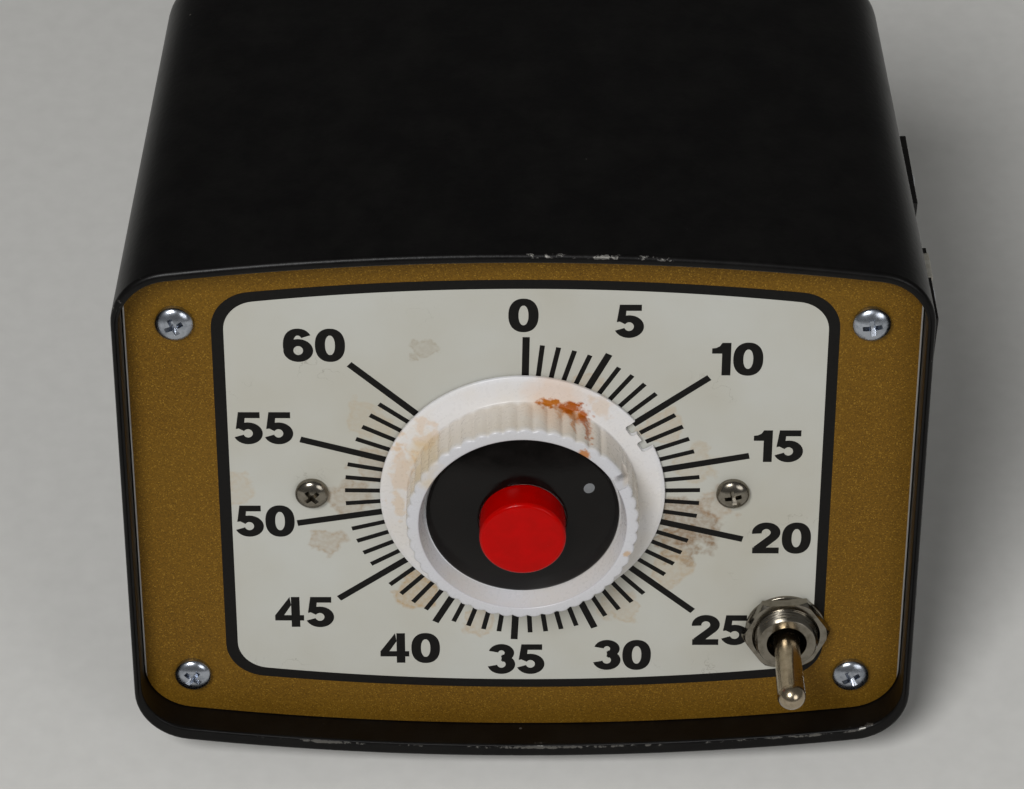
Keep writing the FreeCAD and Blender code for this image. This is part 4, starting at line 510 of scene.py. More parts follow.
def spun(profile, segments=96, steps=5, ends=False, reach=None):
    """A (radius, height, rounding) profile turned about the frame's out axis: closed on itself, or
    capped at its ends. reach changes the radii by (radius, height, angle)."""
    line = rounded(profile, steps)
    angle = np.arange(segments) * 2 * math.pi / segments
    radius = np.broadcast_to(line[:, :1], (len(line), segments))
    height = np.broadcast_to(line[:, 1:], (len(line), segments))
    if reach:
        radius = reach(radius, height, angle)
    return lofted(np.stack([radius * np.cos(angle), radius * np.sin(angle), height], axis=-1), ends)


def solid_box(low, high):
    """A box: its low corner plus the corner steps times its size, in millimetres."""
    low, high = np.array(low, float), np.array(high, float)
    return low + BOX_STEPS * (high - low), BOX_FACES


def shown(name, data):
    """A new object of a mesh, a curve, a lamp or a camera, linked to the scene."""
    thing = bpy.data.objects.new(name, data)
    bpy.context.scene.collection.objects.link(thing)
    return thing


def corners_of(mesh):
    """The places of a mesh's vertices, one a row."""
    points = np.empty(len(mesh.vertices) * 3)
    mesh.vertices.foreach_get("co", points)
    return points.reshape(-1, 3)


def bare(name, skin):
    """An object of a skin just as it is given, with its faces turned outwards."""
    mesh = bpy.data.meshes.new(name)
    mesh.from_pydata(skin[0].tolist(), [], skin[1])
    work = bmesh.new()
    work.from_mesh(mesh)
    bmesh.ops.recalc_face_normals(work, faces=work.faces)
    work.to_mesh(mesh)
    work.free()
    return shown(name, mesh)


def shown_mesh(thing):
    """The mesh of an object with its modifiers applied."""
    bpy.context.view_layer.update()
    return bpy.data.meshes.new_from_object(thing.evaluated_get(bpy.context.evaluated_depsgraph_get()))


def carved(skin, *cutters):
    """Takes other skins out of a skin, one after another, with an exact Boolean."""
    thing = bare("Blank", skin)
    tools = [bare("Cutter", cutter) for cutter in cutters]
    for tool in tools:
        modifier = thing.modifiers.new("Cut", "BOOLEAN")
        modifier.operation = "DIFFERENCE"
        modifier.solver = "EXACT"
        modifier.object = tool
    mesh = shown_mesh(thing)
    if len(mesh.polygons) < len(skin[1]) // 2:
        raise RuntimeError("a piece lost its faces when it was cut")
    faces = [list(face.vertices) for face in mesh.polygons]
    for tool in [thing] + tools:
        bpy.data.objects.remove(tool)
    return corners_of(mesh), faces


def softened(node, look, body, width, segments=2):
    """A merged copy of a node's mesh, whose edges a Bevel modifier rounds to a width."""
    mesh = frame["nodes"][node].data.copy()
    mesh.name = node + "_soft"
    work = bmesh.new()
    work.from_mesh(mesh)
    bmesh.ops.remove_doubles(work, verts=work.verts, dist=0.002 * MM)
    bmesh.ops.dissolve_limit(work, angle_limit=math.radians(1.0), verts=work.verts, edges=work.edges)
    work.to_mesh(mesh)
    work.free()
    mesh.polygons.foreach_set("use_smooth", np.ones(len(mesh.polygons), bool))
    mesh.set_sharp_from_angle(angle=math.radians(35))
    thing = shown(node + "_soft", mesh)
    bevel = thing.modifiers.new("Rounded edges", "BEVEL")
    bevel.width = width
    bevel.segments = segments
    bevel.limit_method = "ANGLE"
    bevel.angle_limit = math.radians(50)
    return settle(thing, look, body, (node,))


def sheet_between(name, loops, low, high, look, nodes=(), bevel=0.0):
    """A flat sheet on the face, filled between loops of points from a low to a high plane: a flat
    curve, extruded both ways and made a mesh before its place is applied."""
    curve = bpy.data.curves.new(name, "CURVE")
    curve.dimensions = "2D"
    curve.fill_mode = "BOTH"
    curve.extrude = (high - low) / 2 - bevel
    curve.bevel_depth = bevel
    curve.bevel_resolution = 2
    for loop in loops:
        line = curve.splines.new("POLY")
        line.points.add(len(loop) - 1)
        weighted = np.column_stack([level(loop, 0.0), np.ones(len(loop))])
        line.points.foreach_set("co", weighted.ravel())
        line.use_cyclic_u = True
    maker = shown(name, curve)
    mesh = shown_mesh(maker)
    bpy.data.objects.remove(maker)
    points = corners_of(mesh) + (0, 0, (low + high) / 2)
    mesh.vertices.foreach_set("co", placed(points).ravel())
    mesh.name = name
    return settle(shown(name, mesh), look, "case", nodes)


def bowed(half_width, top, bottom, corner, bow):
    """A closed outline, clockwise from the top's left: arcs of the bow's radius for the top and
    the bottom, straight sides, and corner arcs that touch both."""
    across = half_width - corner
    drop = bow - math.sqrt((bow - corner) ** 2 - across ** 2)
    swing = math.atan2(across, bow - drop)
    quarter = math.pi / 2
    upper, lower = top - drop, -bottom + drop

    def arc(x, y, radius, start, end, count):
        angle = np.linspace(start, end, count, endpoint=False)
        return np.column_stack([x + radius * np.cos(angle), y + radius * np.sin(angle)])

    def side(x, start, end):
        return np.column_stack([np.full(16, x), np.linspace(start, end, 16, endpoint=False)])

    return np.vstack([
        arc(0, top - bow, bow, quarter + swing, quarter - swing, 28),
        arc(across, upper, corner, quarter - swing, 0, 12),
        side(half_width, upper, lower),
        arc(across, lower, corner, 0, swing - quarter, 12),
        arc(0, bow - bottom, bow, swing - quarter, -quarter - swing, 28),
        arc(-across, lower, corner, -quarter - swing, -2 * quarter, 12),
        side(-half_width, lower, upper),
        arc(-across, upper, corner, 2 * quarter, quarter + swing, 12),
    ])


def circle(radius, x=0.0, y=0.0, count=64):
    """A round loop of points: the middle plus the radius times the cosine and sine of even angles."""
    angle = np.arange(count) * 2 * math.pi / count
    return np.column_stack([x + radius * np.cos(angle), y + radius * np.sin(angle)])


def level(outline, height):
    """An outline lifted to a height, as a ring of points."""
    return np.column_stack([outline, np.full(len(outline), height)])


def clock(degrees):
    """Radians round the frame's out axis of an angle clockwise from the top."""
    return math.radians(90.0 - degrees)


def in_face(points, place):
    """Points of another frame as the face frame sees them, in millimetres."""
    return (placed(points, place) - FACE[:, 3]) @ FACE[:, :3] / MM


# ---------------------------------------------------------------- case

# Millimetres. The rim's height over the face, the cast wall, the face plate, the radius by which
# the top and the bottom bow, and the rounding into the back.
RIM = 6.5
WALL = 2.6
PLATE = 1.6
BOW = 500.0
BACK_ROUND = 8.0
# The plate lies on a ledge with a gap round it. A straight throat runs back from the ledge.
LEDGE = 1.7
PLATE_GAP = 0.25
THROAT_END = -PLATE - 8.0
# Half width, top, bottom and corner of the rim's outline and of the plate's.
CASE = (72.6, 55.3, 57.3, 11.0)
PLATE_EDGE = (70.9, 53.3, 54.1, 9.5)
# Half width, top and bottom above the table, and how far back the back wall is.
BACK_WALL = (66.4, 108.4, 7.2, 95.0)
# Each screw's place across and up, and the degrees by which its cross is turned.
CORNER_SCREWS = ((-61.9, 37.2, 24.0), (61.9, 37.2, 8.0), (-61.9, -42.0, 52.0), (61.9, -42.0, 30.0))
MOVEMENT_SCREWS = ((-38.4, 0.0, 40.0), (38.4, 0.0, 12.0))
TOGGLE_SPOT = (49.2, -31.2)
# How far each outlet is behind the middle of the dial, and how far both are above it. Half the
# width and height of an outlet's window, and how far its screw holes are from its middle.
OUTLETS = (21.6, 51.0)
OUTLET_UP = 11.4
WINDOW = (7.3, 12.8)
OUTLET_HOLE_UP = 17.0
# Each foot's place across and behind the middle of the dial.
FEET = ((-52.0, 2.0), (52.0, 2.0), (-52.0, 78.0), (52.0, 78.0))
# Radii of the holes for the outlets', the feet's and the corner screws, and for the grommet.
OUTLET_HOLE, FOOT_HOLE, POST_HOLE, CORD_HOLE = 1.53, 1.63, 1.73, 5.5
# The end of the screw posts, the ends across of the webs beside them, and half a web's thickness.
POST_END = -PLATE - 20.0
WEB_ENDS, WEB_HALF = (66.3, 69.6), 1.5
BACK_NORMAL = np.array((0.0, math.sin(LEAN), -math.cos(LEAN)))
TOP_UP, TOP_OUT = in_face((0.0, BACK_WALL[3], BACK_WALL[1]), FLOOR)[1:]
LOW_UP, LOW_OUT = in_face((0.0, BACK_WALL[3], BACK_WALL[2]), FLOOR)[1:]
# A painted highlight line lies along the rim's inner edge, this far inside its outer edge.
LIP_HIGHLIGHT = CASE[2] - PLATE_EDGE[2] - 0.75
# How fast the sides, the top and the bottom close in on their way to the back.
SIDE_SLOPE = (CASE[0] - BACK_WALL[0]) / (RIM - (TOP_OUT + LOW_OUT) / 2)
TOP_SLOPE = (TOP_UP - CASE[1]) / (RIM - TOP_OUT)
LOW_SLOPE = (LOW_UP + CASE[2]) / (RIM - LOW_OUT)


def grown(outline, by):
    """Half width, top, bottom and corner of an outline, each larger by what it stands out."""
    return tuple(value + by for value in outline)


def hull(out):
    """Half width, top, bottom and corner of the tapered case at a height over the face: each side
    runs straight from the rim to the back."""
    depth = RIM - out
    return (CASE[0] - SIDE_SLOPE * depth, CASE[1] + TOP_SLOPE * depth, CASE[2] - LOW_SLOPE * depth, CASE[3])


def hull_rings(inset, front, rounding):
    """Rings down the tapered case: straight lines from the outline at the front to a deep one, ended
    by the back wall's plane, and a quarter round from each line into that plane. The rings stand at
    shares of each line's length."""
    deep = LOW_OUT - 4 * WALL
    near = level(bowed(*grown(hull(front), -inset), BOW), front)
    far = level(bowed(*grown(hull(deep), -inset), BOW), deep)
    along = far - near
    end = near + along * ((BACK_WALL[3] - inset - near @ BACK_NORMAL) / (along @ BACK_NORMAL))[:, None]
    along /= np.linalg.norm(along, axis=1)[:, None]
    inward = np.cross(BACK_NORMAL, np.roll(end, -1, axis=0) - np.roll(end, 1, axis=0))
    inward /= np.linalg.norm(inward, axis=1)[:, None]
    turn = np.linspace(0, math.pi / 2, 10)[:, None, None]
    bend = end + rounding * ((np.sin(turn) - 1) * along + (1 - np.cos(turn)) * inward)
    share = np.array((0.0, 0.012, 0.2, 0.4, 0.6, 0.8, 0.988))[:, None, None]
    return np.concatenate([near + share * (bend[0] - near), bend, (bend[-1] + 0.8 * inward)[None]])


def outlet_frame(behind):
    """The frame of an outlet on the outside of the right wall: columns towards the front, up and
    out of the wall, which leans by the sides' slope, and the outlet's middle."""
    middle = in_face((0.0, behind, DIAL_HEIGHT + OUTLET_UP), FLOOR)
    middle[0] = CASE[0] - SIDE_SLOPE * (RIM - middle[2])
    outward = np.array((1.0, 0.0, -SIDE_SLOPE)) / math.hypot(1.0, SIDE_SLOPE)
    upward = np.array((0.0, math.cos(LEAN), math.sin(LEAN)))
    upward -= outward * (upward @ outward)
    upward /= np.linalg.norm(upward)
    frame_columns = np.column_stack([np.cross(upward, outward), upward, outward])
    return np.column_stack([FACE[:, :3] @ frame_columns, placed(middle)])


def rim_wear_and_highlight(points):
    """How exposed each point of the case is, with a painted highlight added: one on the rim's outer front edge and
    less on the edges of the back, where it chips, and a little more than one on a painted highlight line along the
    rim's low inner edge. It goes by the distance in from the outline there, and is nought from 1.15 mm on."""
    half, top, bottom, corner = hull(points[:, 2])
    drop = BOW - np.sqrt(BOW ** 2 - points[:, 0] ** 2)
    side = np.abs(points[:, 0]) - (half - corner)
    high = np.maximum(points[:, 1] + drop - (top - corner), -points[:, 1] + drop - (bottom - corner))
    away = np.hypot(np.maximum(side, 0), np.maximum(high, 0)) + np.minimum(np.maximum(side, high), 0)
    near_edge = np.clip((away - corner + 1.15) / 0.5, 0, 1)
    front = np.clip((points[:, 2] - RIM + 1.2) / 0.5, 0, 1)
    behind = points @ BACK_NORMAL - BACK_WALL[3]
    rear = 0.55 * np.clip((behind + 6.5) / 2.0, 0, 1) * np.clip((-0.6 - behind) / 0.5, 0, 1)
    # Painted highlight: a line of gloss along the rim's low inner edge, more than 40 mm below the dial's middle,
    # painted in the chips' grey.
    lip_highlight = np.clip(1.3 - np.abs(away - corner + LIP_HIGHLIGHT) / 0.6, 0, 1) * (points[:, 1] < -40.0)
    return np.maximum(near_edge * np.maximum(front, rear), 1.16 * lip_highlight * front)


def build_case():
    """The casting: one skin of rings from inside the back forwards to the ledge, up over the rim by
    two quarter rounds and back along the outside, cut by the outlets' windows and the bores, with
    its screw posts, their webs and the feet's bosses."""
    sizes = bpy.context.scene.timer_sizes
    edge = sizes.rim_round / MM
    inner = 0.5
    # A ring this far past each rounding keeps its shading off the flat beside it.
    guard = 0.2
    throat = grown(PLATE_EDGE, -LEDGE)
    recess = grown(PLATE_EDGE, PLATE_GAP)
    rings = [hull_rings(WALL, THROAT_END, BACK_ROUND - WALL)[::-1]]
    flat = [(throat, THROAT_END), (throat, -PLATE), (recess, -PLATE), (recess, RIM - inner - guard)]
    for turn in np.linspace(math.pi / 2, 0, 5):
        flat.append((grown(recess, inner * (1 - math.sin(turn))), RIM - inner * (1 - math.cos(turn))))
    flat.append((grown(recess, inner + guard), RIM))
    flat.append((grown(hull(RIM), -edge - guard), RIM))
    for turn in np.linspace(0, math.pi / 2, 6):
        out = RIM - edge * (1 - math.cos(turn))
        flat.append((grown(hull(out), -edge * (1 - math.sin(turn))), out))
    rings.append(np.array([level(bowed(*outline, BOW), out) for outline, out in flat]))
    rings.append(hull_rings(0.0, RIM - edge - 0.05, BACK_ROUND))
    shell = lofted(np.concatenate(rings))
    cutters = []
    through = 2 * WALL
    window = solid_box((-WINDOW[0], -WINDOW[1], -through), (*WINDOW, through))
    hole = spun([(OUTLET_HOLE, -through), (OUTLET_HOLE, through)], 32, ends=True)
    cutter = joined(window, moved(hole, 0.0, -OUTLET_HOLE_UP), moved(hole, 0.0, OUTLET_HOLE_UP))
    for behind in OUTLETS:
        cutters.append((in_face(cutter[0], outlet_frame(behind)), cutter[1]))
    bore = spun([(CORD_HOLE, -through), (CORD_HOLE, through)], 64, ends=True)
    foot_hole = spun([(FOOT_HOLE, 4.0), (FOOT_HOLE, 13.0)], 32, ends=True)
    feet = joined(*[moved(foot_hole, *spot) for spot in FEET])
    cutters.append((in_face(bore[0], BACK), bore[1]))
    cutters.append((in_face(feet[0], FLOOR), feet[1]))
    shell = carved(shell, *cutters)
    post = spun([(POST_HOLE, POST_END), (5.0, POST_END), (5.0, -PLATE), (POST_HOLE, -PLATE)], 48)
    boss = spun([(FOOT_HOLE, 6.6), (7.5, 6.6), (7.5, 10.8, 0.5), (FOOT_HOLE, 10.8)], 64)
    extras = []
    for across, up, turn in CORNER_SCREWS:
        extras.append(moved(post, across, up))
        near, far = sorted(math.copysign(end, across) for end in WEB_ENDS)
        extras.append(solid_box((near, up - WEB_HALF, POST_END), (far, up + WEB_HALF, THROAT_END - 0.2)))
    for spot in FEET:
        extras.append((in_face(moved(boss, *spot)[0], FLOOR), boss[1]))
    skin = joined(shell, *extras)
    case = piece("case_casting", skin, "black_enamel", "case", ("case_shell",))
    # The edge attribute holds how worn each edge is, and the painted highlight line on the rim's low inner edge.
    wear_and_highlight = case.data.attributes.new("wear_and_highlight", "FLOAT", "POINT")
    seen = (corners_of(case.data) - FACE[:, 3]) @ FACE[:, :3] / MM
    wear_and_highlight.data.foreach_set("value", rim_wear_and_highlight(seen).astype(np.float32))


def build_rubber():
    """The feet and the supply cord's grommet: rounded profiles turned about their axes."""
    foot = spun([(1.75, 3.0), (3.8, 3.0, 0.2), (3.8, 0.0, 0.3), (6.0, 0.0, 0.8), (7.0, 6.5, 0.4),
                 (1.75, 6.5)], 80)
    piece("rubber_feet_moulded", joined(*[moved(foot, *spot) for spot in FEET]), "black_rubber", "case",
          ("rubber_feet",), place=FLOOR)
    grommet = spun([(3.5, 1.9, 0.8), (8.0, 1.9, 0.8), (8.0, 0.0, 0.1), (5.45, 0.0, 0.1), (5.45, -2.6, 0.1),
                    (8.0, -2.6, 0.1), (8.0, -4.5, 0.8), (3.5, -4.5, 0.8)], 80)
    piece("cord_grommet_moulded", grommet, "black_rubber", "case", ("cord_grommet",), place=BACK)


# ---------------------------------------------------------------- face plate and its print

def build_plate():
    """The face plate, with the holes of its screws, the set shaft's bushing and the toggle."""
    holes = [circle(1.85, across, up, 32) for across, up, turn in CORNER_SCREWS + MOVEMENT_SCREWS]
    holes += [circle(4.85), circle(6.0, *TOGGLE_SPOT)]
    sheet_between("face_plate_painted", [bowed(*PLATE_EDGE, BOW)] + holes, -PLATE, 0.0, "printed_face",
                  ("face_plate",), bevel=0.12)


# Half width, top, bottom, corner and bow of each printed edge, and how far it is moved to the right.
OUTER_EDGE = ((55.9, 46.1, 45.4, 7.6, 455.0), 0.45)
INNER_EDGE = ((53.2, 43.6, 42.9, 5.8, 430.0), 0.55)
FIELD_EDGE = ((53.8, 44.2, 43.5, 6.0, 430.0), 0.55)
# The low and the high side of the marks' and the numerals' ink over the plate.
INK_LOW, INK_HIGH = 0.04, 0.07


def printed(edge):
    """The outline of a printed edge, moved to the right by its own shift."""
    outline, shift = edge
    return bowed(*outline) + (shift, 0.0)


def build_print():
    """The printed frame and field: the cream ink covers the inner edge of the black outline."""
    sheet_between("printed_outline", [printed(OUTER_EDGE), printed(INNER_EDGE)], 0.0, 0.03, "black_ink")
    holes = [circle(2.9, across, up, 48) for across, up, turn in MOVEMENT_SCREWS]
    holes += [circle(8.0), circle(7.3, *TOGGLE_SPOT)]
    sheet_between("printed_field", [printed(FIELD_EDGE)] + holes, 0.0, 0.05, "cream_ink")


# The zero's mark stands this many degrees clockwise of the top. The marks' widths: of every fifth
# second and of the others.
FIRST_MARK = 0.96
MARK_WIDTHS = (1.3, 0.9)


def build_ticks():
    """The second marks: each a strip along its own radius, from under the knob's skirt to a length
    that its second gives, made as one array of corners."""
    sizes = bpy.context.scene.timer_sizes
    second = np.arange(61)
    angle = np.radians(90.0 - FIRST_MARK - sizes.degrees_per_second * second)
    reach = np.full(61, sizes.short_tick / MM)
    reach[[0, 5, 30, 35, 40]] = sizes.middle_tick / MM
    reach[[10, 15, 20, 25, 45, 50, 55, 60]] = sizes.long_tick / MM
    width = np.where(second % 5 == 0, *MARK_WIDTHS)
    along = np.stack([np.cos(angle), np.sin(angle), 0 * angle], axis=-1)
    aside = np.stack([-np.sin(angle), np.cos(angle), 0 * angle], axis=-1)
    under_skirt = 25.0
    inner = along * under_skirt
    outer = along * reach[:, None]
    half = aside * width[:, None] / 2
    low = np.stack([inner - half, outer - half, outer + half, inner + half], axis=1) + (0, 0, INK_LOW)
    corners = np.concatenate([low, low + (0, 0, INK_HIGH - INK_LOW)], axis=1).reshape(-1, 3)
    faces = (np.array(BOX_FACES) + 8 * second[:, None, None]).reshape(-1, 4).tolist()
    piece("second_marks", (corners, faces), "black_ink", "case")


# Each numeral, and the place of its middle across and up.
NUMERALS = (
    ("0", -0.2, 38.4), ("5", 18.6, 37.2), ("10", 38.0, 29.1), ("15", 46.0, 10.1), ("20", 47.4, -10.6),
    ("25", 36.8, -32.0), ("30", 18.5, -37.9), ("35", -1.4, -38.9), ("40", -21.3, -36.3),
    ("45", -40.9, -27.8), ("50", -47.5, -6.8), ("55", -47.1, 14.0), ("60", -37.5, 32.0),
)
# Half of the pen's width and height, and a shift that all numerals share.
PEN = (0.9, 0.74)
NUMERAL_SHIFT = (0.28, 0.2, 0.0)


def band(path, ends=True):
    """A flat stroke along a path of points, in millimetres: at each point the pen, an ellipse wider
    across than it is high, reaches out on both sides of the path."""
    path = np.asarray(path, float)
    along = np.gradient(path, axis=0) if ends else np.roll(path, -1, axis=0) - np.roll(path, 1, axis=0)
    across = np.column_stack([-along[:, 1], along[:, 0]]) * PEN
    reach = across * PEN / np.linalg.norm(across, axis=1)[:, None]
    return strip(path + reach, path - reach, ends)


def strip(left, right, ends=True):
    """A flat stroke between two rows of points, as rings of four corners, as thick as the ink."""
    left, right = np.asarray(left, float), np.asarray(right, float)
    return lofted(np.stack([level(left, INK_LOW), level(right, INK_LOW),
                            level(right, INK_HIGH), level(left, INK_HIGH)], axis=1), ends)


def bow_of(x, y, across, up, start, end, count=28, square=2.0):
    """Points round part of an ellipse, or of a squarer oval, between two angles in degrees: the
    cosine and sine keep their signs, and their sizes are raised to two over the squareness."""
    angle = np.radians(np.linspace(start, end, count))
    lift = 2.0 / square
    return np.column_stack([x + across * np.sign(np.cos(angle)) * np.abs(np.cos(angle)) ** lift,
                            y + up * np.sign(np.sin(angle)) * np.abs(np.sin(angle)) ** lift])


def figures():
    """The strokes of each figure, centred on its own middle and 7 mm high, with its width."""
    loop = bow_of(0.0, 0.0, 1.78, 2.82, 0.0, 360.0, 65, 2.3)[:-1]
    neck = np.vstack([bow_of(0.0, 0.0, 1.78, 2.82, 38.0, 178.0, 30, 2.3), [(-1.78, -0.7)]])
    shoulder = bow_of(0.0, 1.25, 1.72, 1.57, 188.0, -28.0, 30)
    slope = np.column_stack([np.linspace(1.2, -1.55, 10), np.linspace(0.1, -2.5, 10)])
    return {
        "0": (5.2, [band(loop, ends=False)]),
        "1": (3.4, [strip([(0.1, -3.5), (0.1, 3.5)], [(1.7, -3.5), (1.7, 3.5)]),
                    strip([(-1.7, 2.3), (-1.0, 2.4), (-0.35, 2.75), (0.1, 3.5)],
                          [(-1.7, 1.2), (-1.0, 1.2), (-0.35, 1.2), (0.1, 1.2)])]),
        "2": (5.0, [band(np.vstack([shoulder, slope])),
                    strip([(-2.45, -2.15), (2.45, -2.15)], [(-2.45, -3.5), (2.45, -3.5)])]),
        "3": (5.0, [band(bow_of(0.0, 1.45, 1.5, 1.37, 168.0, -88.0)),
                    band(bow_of(0.0, -1.25, 1.7, 1.57, 88.0, -168.0))]),
        "4": (5.4, [strip([(0.35, -3.5), (0.35, 3.5)], [(1.95, -3.5), (1.95, 3.5)]),
                    strip([(-2.7, -0.75), (2.7, -0.75)], [(-2.7, -2.0), (2.7, -2.0)]),
                    strip([(-2.7, -0.8), (0.1, 3.5)], [(-1.05, -0.8), (0.36, 1.6)])]),
        "5": (5.0, [strip([(-1.6, 3.5), (2.15, 3.5)], [(-1.6, 2.2), (2.15, 2.2)]),
                    strip([(-1.75, 3.5), (-2.25, -0.2)], [(-0.45, 3.5), (-0.75, 0.1)]),
                    band(bow_of(-0.05, -1.15, 1.75, 1.67, 146.0, -160.0))]),
        "6": (5.2, [band(neck), band(bow_of(0.02, -1.12, 1.76, 1.7, 0.0, 360.0, 57)[:-1], ends=False)]),
    }


def build_numerals():
    """The dial's numerals: bold, wide figures side by side, half a millimetre apart."""
    sizes = bpy.context.scene.timer_sizes
    shapes = figures()
    scale = np.array((sizes.numeral_width / MM / 5.2, sizes.numeral_height / MM / 7.0, 1.0))
    for text, across, up in NUMERALS:
        start = -(sum(shapes[figure][0] for figure in text) + 0.5 * (len(text) - 1)) / 2
        skins = []
        for figure in text:
            width, strokes = shapes[figure]
            for stroke in strokes:
                lift = (0.0, 0.0, 0.002 * len(skins))
                points = (stroke[0] + (start + width / 2, 0.0, 0.0) + lift) * scale
                skins.append((points + (across, up, 0.0) + NUMERAL_SHIFT, stroke[1]))
            start += width + 0.5
        piece("numeral_" + text, joined(*skins), "black_ink", "case")


# ---------------------------------------------------------------- screws

def cross_head(head, height, shank, length):
    """A domed pan head with a cross recess, on its shank: an elliptical dome turned about the axis,
    and two blades, crossed at a right angle and narrower downwards, cut out of it."""
    turn = np.radians(np.linspace(0, 84, 12))
    dome = np.column_stack([head * np.cos(turn), 0.32 * height + 0.68 * height * np.sin(turn)])
    profile = [(shank - 0.5, -length), (shank, -length + 0.6), (shank, 0.0), (head - 0.1, 0.0)]
    blank = spun(profile + dome.tolist(), 72, ends=True)
    blades = []
    for turned in (0.0, 90.0):
        steps = np.array(((-1, -1), (1, -1), (1, 1), (-1, 1)), float)
        low = level(steps * (0.2 * head, 0.085 * head), 0.42 * height)
        high = level(steps * (0.62 * head, 0.15 * head), 1.1 * height)
        blades.append(moved(lofted(np.array([low, high])), 0.0, 0.0, turned))
    return carved(blank, *blades)


def build_screws():
    """The face plate's four screws and the movement's two, each turned as its thread ended."""
    corner = cross_head(3.5, 2.1, 1.7, 12.0)
    piece("panel_screws_cross", joined(*[moved(corner, *spot) for spot in CORNER_SCREWS]), "steel", "case",
          ("panel_screws",))
    middle = cross_head(3.1, 2.1, 1.7, 14.5)
    piece("movement_screws_cross", joined(*[moved(middle, *spot) for spot in MOVEMENT_SCREWS]), "nickel",
          "case", ("movement_screws",))


# ---------------------------------------------------------------- knob, disc and button

# Degrees clockwise from the top: the slot in the grip, the tab of the skirt and the index dot.
SLOT_AT = 61.2
TAB_AT = 58.2
DOT_AT = 61.8


def fluted(radius, height, angle):
    """The knob's radii with flutes in its grip: the wall dips by one less the size of a cosine of
    half as many turns as there are flutes, so that sharp valleys part rounded ribs. The dips fade
    out towards the foot, and a stretch beside the slot stays smooth."""
    sizes = bpy.context.scene.timer_sizes
    rib = np.abs(np.cos(sizes.flute_count / 2 * (angle - clock(SLOT_AT))))
    from_pointer = (clock(SLOT_AT) - angle) % (2 * math.pi)
    smooth = (from_pointer > math.radians(343.8)) & (from_pointer < math.radians(358.0))
    fade = np.clip((height - 1.7) / 1.2, 0, 1)
    grip = (radius > 20.3) & (radius < 21.15) & (height > 1.6)
    depth = sizes.flute_depth / MM * (1 - rib) * np.sqrt(fade) * ~smooth
    return radius - np.where(grip, depth, 0.0)


def build_knob():
    """The knob: skirt, fluted grip, recess and hub in one turned profile, cut by the slot in the
    grip, by the notches with round-cornered floors on both sides of the skirt's tab, and by a block
    that cuts the tab back."""
    wall = [(21.1, height) for height in np.linspace(1.65, 9.6, 24)]
    profile = [(26.0, 0.3, 0.15), (26.0, 0.95, 0.25), (25.2, 1.2, 0.4), (21.25, 1.5)] + wall
    profile += [(21.1, 10.4, 0.6), (18.8, 10.4, 0.35), (17.8, 6.2, 0.3), (3.2, 6.2), (3.2, 3.2),
                (6.5, 3.2, 0.3), (6.5, 4.6), (19.1, 4.6, 0.3), (19.1, 0.3)]
    steps_round = 48 * 12
    blank = spun(profile, steps_round, reach=fluted)
    slot = moved(solid_box((-1.55, 15.8, 6.2), (1.55, 22.0, 12.0)), 0.0, 0.0, -SLOT_AT)
    turn = np.linspace(0, math.pi / 2, 5)
    foot = np.column_stack([-0.7 - 0.5 * np.cos(turn), 24.1 - 0.5 * np.sin(turn)])
    notch = np.vstack([[(-1.2, 27.5)], foot, foot[::-1] * (-1, 1), [(1.2, 27.5)]])
    below, above = -1.0, 4.0
    cuts = [slot]
    for aside in (-2.05, 2.05):
        outline = notch + (aside, 0.0)
        cuts.append(moved(lofted([level(outline, below), level(outline, above)]), 0.0, 0.0, -TAB_AT))
    cuts.append(moved(solid_box((-1.0, 24.75, below), (1.0, 27.5, above)), 0.0, 0.0, -TAB_AT))
    piece("timing_knob_moulded", carved(blank, *cuts), "white_plastic", "knob", ("timing_knob",),
          sharp=60.0)


# The disc's outer and inner radius, its top over the face, and how far its dome falls to its edge.
DISC, DISC_BORE = 17.5, 7.95
DISC_TOP, DISC_FALL = 9.2, 2.4


def dome(radius):
    """The disc's height over the face at a radius: a ball through its top and its edge. The ball's
    radius is the sum of the squares of the disc's radius and its fall, over twice the fall."""
    ball = (DISC ** 2 + DISC_FALL ** 2) / (2 * DISC_FALL)
    return DISC_TOP - ball + np.sqrt(ball ** 2 - radius ** 2)


def build_disc():
    """The glossy domed disc in the knob's recess, and the round index dot printed on it."""
    spread = np.linspace(DISC - 0.3, DISC_BORE + 0.2, 24)
    profile = [(DISC_BORE, 6.2), (DISC, 6.2, 0.15), (DISC, 6.6)]
    profile += np.column_stack([spread, dome(spread)]).tolist()
    profile.append((DISC_BORE, float(dome(DISC_BORE)) - 0.1))
    piece("knob_disc_domed", spun(profile, 160), "black_disc", "knob", ("knob_disc",))
    middle = 13.6 * np.array((math.cos(clock(DOT_AT)), math.sin(clock(DOT_AT))))
    rings = []
    for radius, lift in ((0.2, -0.05), (1.0, -0.05), (1.0, 0.02), (0.92, 0.05), (0.2, 0.06)):
        flat = circle(radius, *middle)
        rings.append(np.column_stack([flat, dome(np.hypot(*flat.T)) + lift]))
    piece("index_dot", lofted(np.array(rings)), "dot_ink", "knob")


def build_button():
    """The start button: a rounded cap, very slightly crowned, hollow for its spring and rod."""
    profile = [(0.3, 14.0), (1.6, 14.0), (1.6, 13.1), (4.2, 13.1), (4.2, 8.4), (7.8, 8.4, 0.25),
               (7.8, 14.72, 0.8), (4.5, 14.84), (0.3, 14.9)]
    piece("start_button_cap", spun(profile, 128, steps=8, ends=True), "red_plastic", "button",
          ("start_button",))


# ---------------------------------------------------------------- toggle switch

# A radius past every side that trims it.
PLENTY = 99.0
# The thread's pitch and depth, and half of the nut's width across its flats.
PITCH, THREAD = 0.79, 0.36
NUT = 7.15


